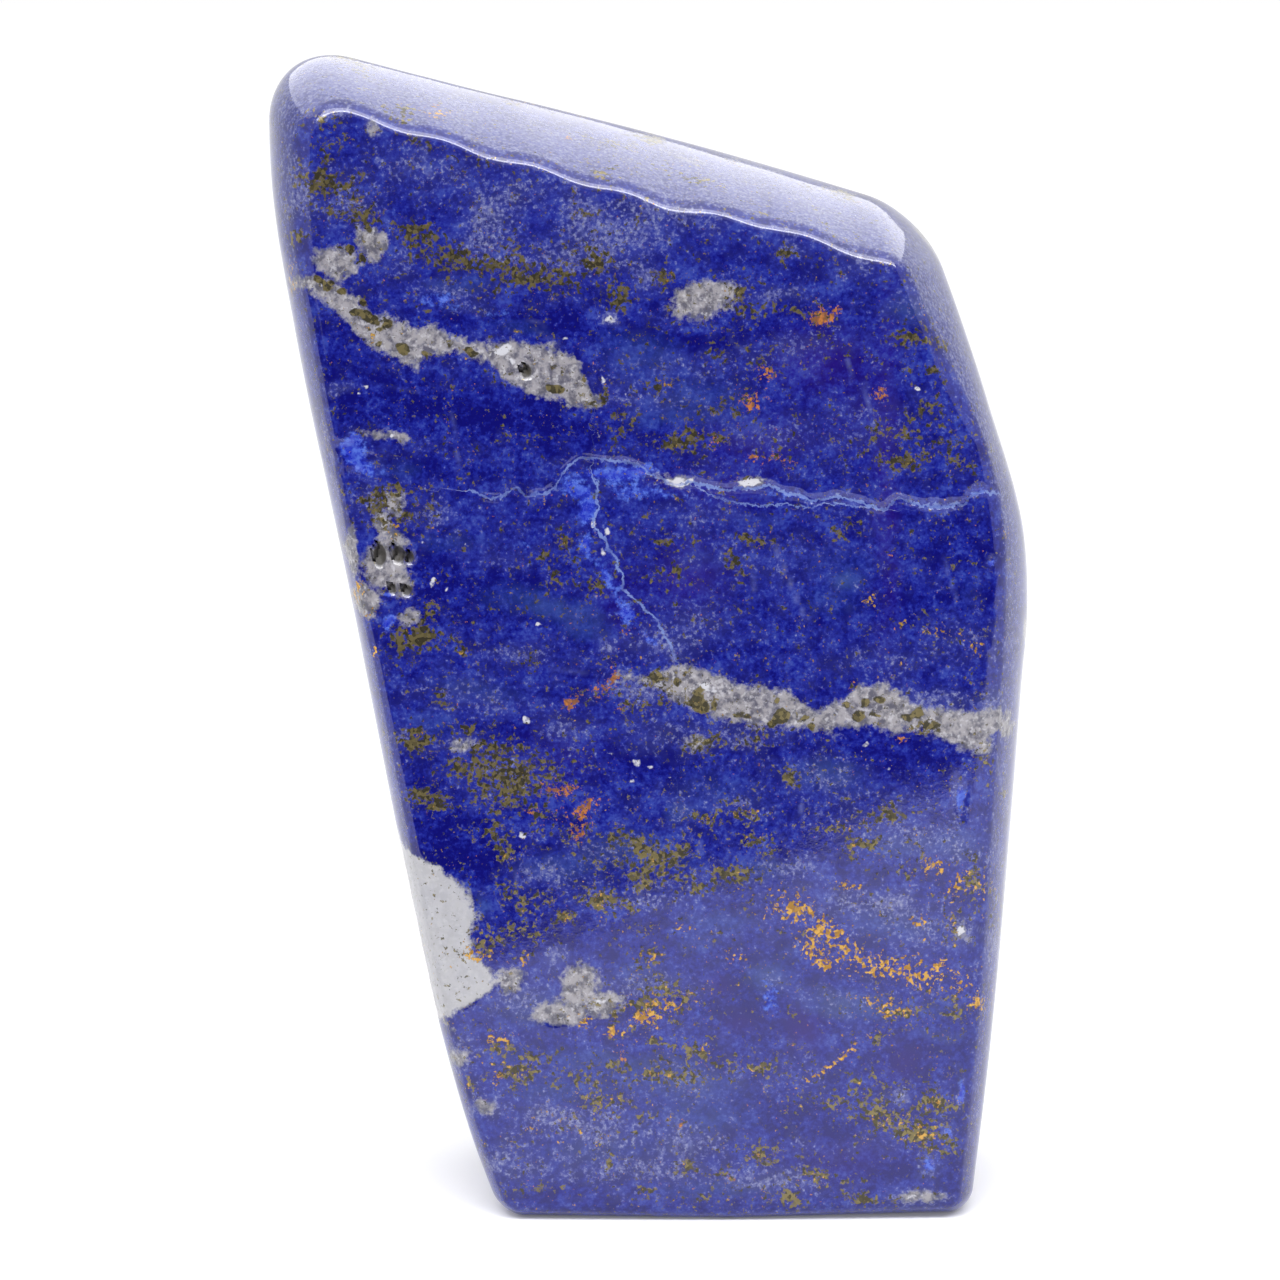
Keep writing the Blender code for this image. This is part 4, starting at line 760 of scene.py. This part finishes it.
block_edge = np.interp(height, *np.array(WHITE_BLOCK)[::-1, ::-1].T)
block = np.where((height > 18.6) & (height < 38), block_edge - side, -4.0)
block = np.minimum(block, 16 - depth)
chalk = np.clip(block + 0.6, 0, 1)
calcite = np.maximum.reduce([vein(UPPER_VEIN, 0.12), vein(LOWER_VEIN, -0.1), blobs(CALCITE_PATCHES), block])
grains = blobs(GRAINS)
crack = above_line(CRACK, 0.4, 31)
lens = above_line(LENS, 0.1, 32)
branch = left_of_line(BRANCH, 0.5, 33)
print("calcite covers", round(float((calcite > 0).mean()), 3), "of the points")

# %% [markdown]
# ## Away from the front
# The sides, the top and the back were cut from the same rock, so the same clouds go on there, but from noise
# alone: wide bands that dip to one side, with patches in them.

# %% The same minerals in the rest of the stone
inside_rock = np.clip(depth / 9 - 0.5, 0, 1)
banded = skin @ np.array([[1, 0, 0.12], [0, 1, 0.1], [0, 0, 2.2]]).T
cloud = noise(banded, 11, 41, 5)
patch_noise = noise(skin * [1, 1, 1.5], 5.5, 42, 5)
fleck = noise(skin, 3.0, 43, 4)
dust_and_edge_sheen = np.maximum(dust_and_edge_sheen, inside_rock * np.clip(0.1 + 0.8 * cloud + 0.3 * fleck, 0, 0.6))
dark = np.maximum(dark, inside_rock * np.clip(1.2 * patch_noise + 0.5 * fleck - 0.3, 0, 0.6))
gold = np.maximum(gold, inside_rock * np.clip(1.4 * noise(skin, 4.2, 44, 4) - 0.6, 0, 0.6))
rust = np.maximum(rust, inside_rock * np.clip(1.8 * noise(skin, 6.0, 45, 4) - 1.15, 0, 0.5))
haze = np.maximum(haze, inside_rock * np.clip(0.05 + 0.8 * noise(banded, 8, 46, 4), 0, 0.6))
deep = np.maximum(deep, inside_rock * np.clip(-0.1 - 1.2 * cloud, 0, 0.9))
pocket = 3.2 * (noise(skin * [1, 1, 1.6], 9, 47, 5) - 0.62)
calcite = np.maximum(calcite, np.where(inside_rock > 0.2, pocket, -4.0))

# %% [markdown]
# ## Relief
# The polish is flat to a few hundredths of a millimetre except where the stone broke or lost grains: the
# fracture and its branch, the chip at the left edge, and the pits in the white calcite. Moving the points
# inwards along the normal keeps the stone inside the solid's box.

# %% Breaks, pits and the softer minerals
PITS = (
    (-25.7, 64.4, 0.62, 1.0), (-23.9, 64.5, 0.58, 0.75), (-22.8, 64.2, 0.40, 0.5),
    (-24.5, 61.2, 0.34, 0.45), (-23.1, 61.1, 0.45, 0.5), (-11.7, 81.9, 0.5, 0.6),
)
PIT_DEPTH = 0.75
CHIP = ((-28.4, 73.9, 1.9, 1.6, 0, 0.9), (-26.0, 72.0, 2.2, 1.6, -20, 0.6), (-24.6, 69.4, 1.6, 2.0, 0, 0.4))
SAFE = 0.06

pit = np.zeros(len(skin))
for x, z, half_width, half_height in PITS:
    r = np.hypot((skin[:, 0] - x) / half_width, (flat_height - z) / half_height)
    pit = np.maximum(pit, np.clip(1.25 - r, 0, 1) ** 0.7)
pit *= near_front
chip = patches_of(CHIP, reach=5.0)
broken = np.clip(azure * 1.3, 0, 1)
rough_break = noise(skin, 1.1, 51, 3)
sunk = (
    SAFE
    + PIT_DEPTH * pit
    + 0.32 * chip * (1 + 0.6 * rough_break)
    + near_front * 0.16 * np.exp(-((crack / 0.3) ** 2))
    + near_front * broken * (0.07 + 0.05 * rough_break)
    + 0.03 * np.clip(calcite * 2, 0, 1) * (1 + noise(skin, 0.8, 52, 2))
    + 0.012 * (1 + noise(skin, 9.0, 53, 2))
)
on_base = np.clip(skin[:, 2] / 0.5, 0, 1)
stone_points = skin - normals * (sunk * on_base)[:, None]
print("deepest place, mm:", round(float(sunk.max()), 2))

# %% [markdown]
# ## The mesh
# Blender takes the points and faces as they are. The faces are turned outwards by looking at them from the
# stone's middle, which works because every point of it can be seen from there.


# %% Points and faces into a mesh
def turned_out(faces, points):
    """Faces whose normal points towards the middle get their corners in the opposite order."""
    a, b, c = (points[faces[:, k]] for k in (0, 1, 2))
    inward = np.einsum("ij,ij->i", np.cross(b - a, c - a), (a + b + c) / 3 - MIDDLE) < 0
    return np.where(inward[:, None], faces[:, ::-1], faces)


faces = turned_out(quad_faces, stone_points).tolist() + turned_out(triangle_faces, stone_points).tolist()
mesh = bpy.data.meshes.new("lapis_stone")
mesh.from_pydata((stone_points * MM).tolist(), [], faces)
mesh.shade_smooth()
stone = bpy.data.objects.new("lapis_stone", mesh)
bpy.context.scene.collection.objects.link(stone)

on_points = dict(
    dust_and_edge_sheen=dust_and_edge_sheen, dark=dark, gold=gold, rust=rust, haze=haze, deep=deep, painted_violet_reflection=painted_violet_reflection * near_front, white=white,
    azure=azure, scratch=scratch, calcite=calcite, grains=grains, crack=crack, lens=lens, branch=branch,
    pit=pit, front=near_front, chalk=chalk,
)
for name, values in on_points.items():
    attribute = mesh.attributes.new(name, "FLOAT", "POINT")
    attribute.data.foreach_set("value", np.asarray(values, np.float32))
print(f"{stone.name}: {len(mesh.vertices)} points, {len(mesh.polygons)} faces, {len(on_points)} mineral layers")

# %% [markdown]
# ## Shader maths as plain sums
# The finish is worked out from the layers on the points and from fine noise. Written node by node that would
# be hard to read, so one small class stands for a socket and turns +, - and * into Math nodes. Everything
# else, such as a noise or a mix of two colours, comes from its one method that adds a node.


# %% A socket that can be added and multiplied
class Wire:
    """An output socket of the material. Sums and products of wires are Math nodes in the same tree."""

    tree = None

    def __init__(self, socket):
        self.socket = socket

    @classmethod
    def node(cls, kind, inputs=(), output=0, **settings):
        """Adds a node: its settings first, then its sockets by name or number, each a value or a wire."""
        made = cls.tree.nodes.new(kind)
        for name, value in settings.items():
            setattr(made, name, value)
        for place, value in dict(inputs).items():
            if isinstance(value, Wire):
                cls.tree.links.new(value.socket, made.inputs[place])
            else:
                made.inputs[place].default_value = value
        return cls(made.outputs[output])

    @classmethod
    def layer(cls, name):
        return cls.node("ShaderNodeAttribute", output="Fac", attribute_name=name, attribute_type="GEOMETRY")

    def maths(self, operation, first, second=0.0, clamp=False):
        return self.node("ShaderNodeMath", {0: first, 1: second}, operation=operation, use_clamp=clamp)

    def __add__(self, other):
        return self.maths("ADD", self, other)

    def __sub__(self, other):
        return self.maths("SUBTRACT", self, other)

    def __rsub__(self, other):
        return self.maths("SUBTRACT", other, self)

    def __mul__(self, other):
        return self.maths("MULTIPLY", self, other)

    def __abs__(self):
        return self.maths("ABSOLUTE", self)

    __radd__, __rmul__ = __add__, __mul__

    def limit(self):
        """The value kept between 0 and 1."""
        return self.maths("ADD", self, 0.0, clamp=True)

    def least(self, other):
        return self.maths("MINIMUM", self, other)

    def most(self, other):
        return self.maths("MAXIMUM", self, other)

    def rise(self, low, high):
        """0 below low, 1 above high and a smooth step between; with low above high it falls."""
        return self.node(
            "ShaderNodeMapRange", {"Value": self, "From Min": low, "From Max": high}, interpolation_type="SMOOTHSTEP"
        )


def blend(amount, under, over):
    """A colour over another, by amount."""
    return Wire.node("ShaderNodeMix", {0: amount, 6: under, 7: over}, 2, data_type="RGBA")


LIGHT_ON_FRONT = 1.9


def linear(red, green, blue, light=LIGHT_ON_FRONT):
    """A colour given as it looks under the lamps, 0 to 255 on a screen, as the share of light it returns."""
    share = np.array([red, green, blue]) / 255
    seen = np.where(share < 0.04045, share / 12.92, ((share + 0.055) / 1.055) ** 2.4)
    return (*(seen / light).tolist(), 1.0)


# %% [markdown]
# ## Fine noise
# Below the spacing of the mesh lines the shader takes over. Object coordinates are in metres, so they are
# brought to millimetres once, and each noise is then asked for by the size of its grain.

# %% Grain noises
finish = bpy.data.materials.new("polished lapis lazuli")
finish.use_nodes = True
Wire.tree = finish.node_tree
finish.node_tree.nodes.clear()

where = Wire.node("ShaderNodeTexCoord", output="Object")
mm = Wire.node("ShaderNodeVectorMath", {0: where, "Scale": 1 / MM}, operation="SCALE")


def fine(size, detail=2.0, roughness=0.6, shift=0.0, stretch=None):
    """Noise with grains of this size in millimetres, from another part of space for each shift."""
    moved = Wire.node("ShaderNodeMapping", {"Vector": mm, "Location": (shift,) * 3, "Scale": stretch or (1, 1, 1)})
    return Wire.node(
        "ShaderNodeTexNoise",
        {"Vector": moved, "Scale": 1 / size, "Detail": detail, "Roughness": roughness},
    )


def specks(density, grain, spread=0.05, bare=0.74, full=0.36):
    """Grains of a noise that stand out where it passes a threshold, which falls as the density rises."""
    edge = bare + density * (full - bare)
    return (grain - edge).rise(-spread, spread)


def cells(size, shift=0.0, output="Color"):
    """Voronoi cells of this size, each with its own random colour."""
    moved = Wire.node("ShaderNodeMapping", {"Vector": mm, "Location": (shift,) * 3})
    return Wire.node("ShaderNodeTexVoronoi", {"Vector": moved, "Scale": 1 / size}, output)


dust_grain = fine(0.45, 2.5, 0.65)
speck_grain = fine(0.5, 3.0, 0.65, 40)
gold_grain = fine(0.42, 2.0, 0.6, 80)
rust_grain = fine(0.36, 2.0, 0.7, 120)
clump = fine(1.7, 3.0, 0.6, 160)
mottle = fine(2.6, 5.0, 0.62, 200, (1, 1, 1.4))
cloudiness = fine(1.2, 4.0, 0.6, 240)
ragged = fine(0.7, 4.0, 0.65, 280)
cell_value = Wire.node("ShaderNodeSeparateColor", {0: cells(0.34, 7)}, 0)

# %% [markdown]
# ## Lazurite
# The blue is not even: it runs from a deep violet navy to a clean royal blue in clouds of a few millimetres,
# with single grains lighter and darker. The deep layer pulls it to the clean dark blue, and a grey-blue film
# lies over it where fine calcite is mixed in. A violet tint laid over it in patches on the front is a painted
# reflection.

# %% The blue
deep = Wire.layer("deep")
blue_value = (mottle * 1.2 + cloudiness * 0.6 + dust_grain * 1.1 - 0.95 - deep * 0.2).limit()
blue = blend(blue_value.rise(0.25, 0.6), linear(20, 20, 122), linear(34, 42, 160))
blue = blend(blue_value.rise(0.5, 0.85), blue, linear(62, 80, 184))
# Painted reflection: violet patches on the front, laid over the blue.
painted_violet_reflection = Wire.layer("painted_violet_reflection")
blue = blend(painted_violet_reflection * 0.55, blue, linear(58, 30, 140))
film = (Wire.layer("haze") * (0.45 + cloudiness * 1.1) - 0.12).limit() * 0.75
blue = blend(film, blue, linear(66, 94, 158))

# %% [markdown]
# ## Dust, specks and stains
# Each mineral is a colour laid over the blue where its own grain noise passes a threshold. The threshold
# falls with the layer on the points and with a clumping noise, so grains gather in little groups.

# %% Pale dust, with the painted highlight along the upper edges
gather = (clump - 0.5) * 1.3
# The pale layer holds both the dust and the painted highlight along the upward edges. Both come out here as pale
# specks and a soft pale film.
dust_and_edge_sheen = (Wire.layer("dust_and_edge_sheen") + gather * 0.6 - deep * 0.3 + 0.12).limit()
soft_dust_and_sheen = (dust_and_edge_sheen * (0.35 + cloudiness * 0.9)).limit()
blue = blend(soft_dust_and_sheen * 0.6, blue, linear(98, 106, 168))
dust_and_sheen_specks = specks(dust_and_edge_sheen, dust_grain, 0.09)
dust_and_sheen_colour = blend(fine(0.3, 2, 0.6, 320).rise(0.4, 0.7), linear(104, 108, 178), linear(182, 186, 216))
colour = blend(dust_and_sheen_specks * 0.6, blue, dust_and_sheen_colour)

# %% Azure of the bruised places
azure = Wire.layer("azure")
bruise = (azure + (ragged - 0.5) * 1.2).rise(0.28, 0.62)
colour = blend(bruise * 0.85, colour, blend(ragged.rise(0.42, 0.66), linear(36, 58, 212), linear(96, 130, 244)))

# %% Rust
rust = specks((Wire.layer("rust") * 1.35 + gather * 0.3).limit(), rust_grain, 0.05)
rust_colour = blend(fine(0.5, 2, 0.6, 360).rise(0.4, 0.65), linear(150, 100, 58), linear(216, 138, 60))
colour = blend(rust * 0.92, colour, rust_colour)

# %% [markdown]
# ## Calcite
# The white mineral is translucent: grey in its depth with whiter crystals, and stained a little where it
# meets the blue. Its border is the distance on the points plus ragged noise, cut at zero.

# %% Veins and patches of calcite
calcite = Wire.layer("calcite") + (ragged - 0.5) * 2.4 + (dust_grain - 0.5) * 0.9
in_calcite = calcite.rise(-0.35, 0.35)
crystal = fine(0.95, 3.0, 0.6, 400)
calcite_colour = blend(crystal.rise(0.36, 0.62), linear(112, 110, 118), linear(188, 184, 186))
calcite_colour = blend(fine(0.5, 2, 0.6, 440).rise(0.52, 0.72) * 0.7, calcite_colour, linear(232, 230, 234))
calcite_colour = blend(Wire.layer("chalk") * 0.8, calcite_colour, linear(224, 224, 226))
rim = calcite.rise(0.55, -0.1) * in_calcite
calcite_colour = blend(rim * 0.5, calcite_colour, linear(104, 112, 150))
colour = blend(in_calcite * 0.9, colour, calcite_colour)
white = Wire.layer("white")
white_spot = (white + (ragged - 0.5) * 0.8).rise(0.35, 0.6)
colour = blend(white_spot, colour, linear(232, 232, 242))

# %% [markdown]
# ## Pyrite
# Pyrite is a brassy sulphide and the only metal here. A metal shows what it reflects: specks that face the
# dark room look olive black, and those that face the pale table or a lamp turn gold. The specks are also
# tarnished and scratched, so a little over half of each shines as metal and the rest scatters its own colour,
# which varies from brass to olive. That colour is partly painted light: the olive of the dark specks is painted
# as pyrite looks where it mirrors the dark room, and the brighter brass of the gold specks, which changes from
# cell to cell, is a painted glint.

# %% Specks, grains and gold
SHINY_SHARE = 0.55
dark = (Wire.layer("dark") * 1.15 + gather * 0.7 + 0.13).limit()
speck = specks(dark, speck_grain, 0.05, 0.7, 0.36)
gold = (Wire.layer("gold") + gather * 0.35).limit()
gold_speck = specks(gold, gold_grain, 0.04, 0.74, 0.38)
grain = (Wire.layer("grains") + (dust_grain - 0.5) * 0.5).rise(-0.06, 0.06)
in_pit = Wire.layer("pit").rise(0.1, 0.5)
metal = speck.most(gold_speck).most(grain)
# Painted light in the pyrite's colour: dark olive where it mirrored the dark room, and brass that brightens cell by
# cell for glints.
tarnish_and_painted_dark_reflection = blend(cell_value.rise(0.25, 0.8), linear(64, 60, 46, 1.0), linear(116, 106, 72, 1.0))
brass_and_painted_glint = blend(cell_value.rise(0.2, 0.8), linear(146, 108, 48, 1.0), linear(190, 148, 74, 1.0))
metal_colour = blend(gold_speck, tarnish_and_painted_dark_reflection, brass_and_painted_glint)
colour = blend(metal, colour, metal_colour)
# Painted shade: the pits are darkened to a dark olive brown on top of their real depth.
colour = blend(in_pit * 0.9, colour, linear(52, 46, 36))

# %% [markdown]
# ## Cracks and scratches
# A crack in polished blue stone shows as a thin pale line, because its walls scatter light. The line is
# where the signed distance to it is near zero, with a little noise so that its width comes and goes.


# %% Thin pale lines
def thin_line(name, width, shift):
    """1 within this half width of where a layer crosses zero; the caller keeps it to the front."""
    offset = Wire.layer(name) + (fine(0.5, 3, 0.65, shift) - 0.5) * 1.1
    return abs(offset).rise(width, width * 0.4)


front = Wire.layer("front").rise(0.5, 0.9)
faint = fine(2.2, 2, 0.5, 520).rise(0.3, 0.6)
cracks = thin_line("crack", 0.2, 460).most(thin_line("lens", 0.12, 480) * 0.8).most(thin_line("branch", 0.2, 500))
colour = blend(cracks * front * (0.3 + faint * 0.55), colour, linear(140, 162, 232))
scratched = Wire.layer("scratch") * (0.5 + dust_grain)
colour = blend(scratched.limit() * 0.5, colour, linear(140, 150, 214))

# %% [markdown]
# ## Polish
# Lazurite takes a bright polish, calcite is softer and comes out a little duller, and broken places stay
# matte. A very low bump lets the minerals stand at slightly different heights, which breaks up the highlight
# along the crease into sparkles.

# %% Roughness, bump and the shader
roughness = 0.055 + in_calcite * 0.1 + bruise * front * 0.22 + in_pit * 0.5 + metal * 0.14
height_map = dust_grain * 0.35 + speck_grain * 0.25 - in_calcite * 0.5 + metal * 0.6
height_map = height_map - cracks * front * 1.2 + bruise * ragged * 3
bump = Wire.node(
    "ShaderNodeBump", {"Strength": 0.35, "Distance": 0.02 * MM, "Height": height_map}, "Normal"
)
shader = Wire.node(
    "ShaderNodeBsdfPrincipled",
    {
        "Base Color": colour,
        "Metallic": metal * (1 - in_pit) * SHINY_SHARE,
        "Roughness": roughness.limit(),
        "IOR": 1.5,
        "Normal": bump,
    },
)
result = finish.node_tree.nodes.new("ShaderNodeOutputMaterial")
finish.node_tree.links.new(shader.socket, result.inputs["Surface"])
mesh.materials.append(finish)
print(f"{finish.name}: {len(finish.node_tree.nodes)} nodes")

# %% [markdown]
# ## Table, light and camera
# The stone stands on a pale table in a white light tent. The tent is the world's own even white. A long soft
# lamp above the camera lights the front, a thin strip below it draws the bright line along the upper crease,
# and the tent's ceiling shows in the band above that. The strip and ceiling are only reflected. Two black cards stand for the dark room
# that the camera looks out of: the upper front of the stone reflects them and so shows its full blue, while
# the lower front reflects the pale table and looks veiled. The cards and lamps aren't seen by the camera.

# %% Table, cards and lamp
TABLE = 4000
KEY_STRENGTH = 8.0
CEILING_STRENGTH = 1.7
STRIP_STRENGTH = 22.0
TENT_STRENGTH = 1.0


def card(name, corners, colour, glow=0.0, seen=False):
    """A flat many-sided card from its corners in millimetres; with glow it is a lamp."""
    flat = bpy.data.meshes.new(name)
    flat.from_pydata([tuple(MM * v for v in corner) for corner in corners], [], [list(range(len(corners)))])
    material = bpy.data.materials.new(name)
    material.use_nodes = True
    surface = material.node_tree.nodes["Principled BSDF"]
    surface.inputs["Base Color"].default_value = (*colour, 1.0)
    surface.inputs["Roughness"].default_value = 0.9
    surface.inputs["Specular IOR Level"].default_value = 0.0
    surface.inputs["Emission Color"].default_value = (*colour, 1.0)
    surface.inputs["Emission Strength"].default_value = glow
    flat.materials.append(material)
    made = bpy.data.objects.new(name, flat)
    bpy.context.scene.collection.objects.link(made)
    made.visible_camera = seen
    made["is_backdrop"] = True
    return made


# Where the pale table ends and the dark room begins, as the stone's front sees it, from left to right.
TABLE_END = ((-900, -190), (-60, -190), (-23, -241), (62, -470), (130, -690), (900, -690))
BLACK = (0.0, 0.0, 0.0)
WHITE = (1.0, 1.0, 1.0)

half = TABLE / 2
card("table", [(x, y, 0) for x, y in ((-half, -half), (half, -half), (half, half), (-half, half))],
     (0.9, 0.9, 0.91), 0.15, True)
card("dark_floor", [(*place, 1) for place in (*TABLE_END, (900, -1990), (-900, -1990))], BLACK)
card("dark_room", [(-420, -900, 0), (420, -900, 0), (420, -900, 330), (-420, -900, 330)], BLACK)
card("key_lamp", [(-550, -760, 560), (550, -760, 560), (550, -480, 840), (-550, -480, 840)],
     WHITE, KEY_STRENGTH)
strip = card("strip", [(-550, -700, 600), (550, -700, 600), (550, -650, 650), (-550, -650, 650)],
             WHITE, STRIP_STRENGTH)
ceiling = card("ceiling", [(-900, -470, 850), (900, -470, 850), (900, 2500, 850), (-900, 2500, 850)],
               WHITE, CEILING_STRENGTH)
ceiling.visible_diffuse = strip.visible_diffuse = False

world = bpy.data.worlds.new("light tent")
bpy.context.scene.world = world
world.use_nodes = True
world.node_tree.nodes["Background"].inputs["Color"].default_value = (1.0, 1.0, 1.0, 1.0)
world.node_tree.nodes["Background"].inputs["Strength"].default_value = TENT_STRENGTH

# %% [markdown]
# The camera looks down by nine degrees through a long lens, which is why the stone's sides hardly converge.
# The plain view transform keeps the blue as saturated as it is; the filmic ones would grey it.

# %% Camera
ELEVATION = np.radians(9)
LENS = 180
DISTANCE = 618
AIM = Vector((-0.9, -8.0, 55.1))

camera_data = bpy.data.cameras.new("camera")
camera_data.lens = LENS
camera_data.sensor_width = 36
camera_data.clip_end = 100
camera = bpy.data.objects.new("camera", camera_data)
bpy.context.scene.collection.objects.link(camera)
look = Vector((0, float(np.cos(ELEVATION)), -float(np.sin(ELEVATION))))
camera.location = (AIM - look * DISTANCE) * MM
camera.rotation_euler = look.to_track_quat("-Z", "Y").to_euler()
bpy.context.scene.camera = camera
bpy.context.scene.view_settings.view_transform = "Standard"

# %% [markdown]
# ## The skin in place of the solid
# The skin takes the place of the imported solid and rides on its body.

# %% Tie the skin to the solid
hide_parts("lapis_lazuli")
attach(stone, "root")
bpy.context.view_layer.update()
boxes = {"cad": [list(map(float, c)) for c in cad_box], "visual": [list(map(float, c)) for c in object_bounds()]}
print("boxes, mm:", {k: [[round(v / MM, 2) for v in c] for c in b] for k, b in boxes.items()})
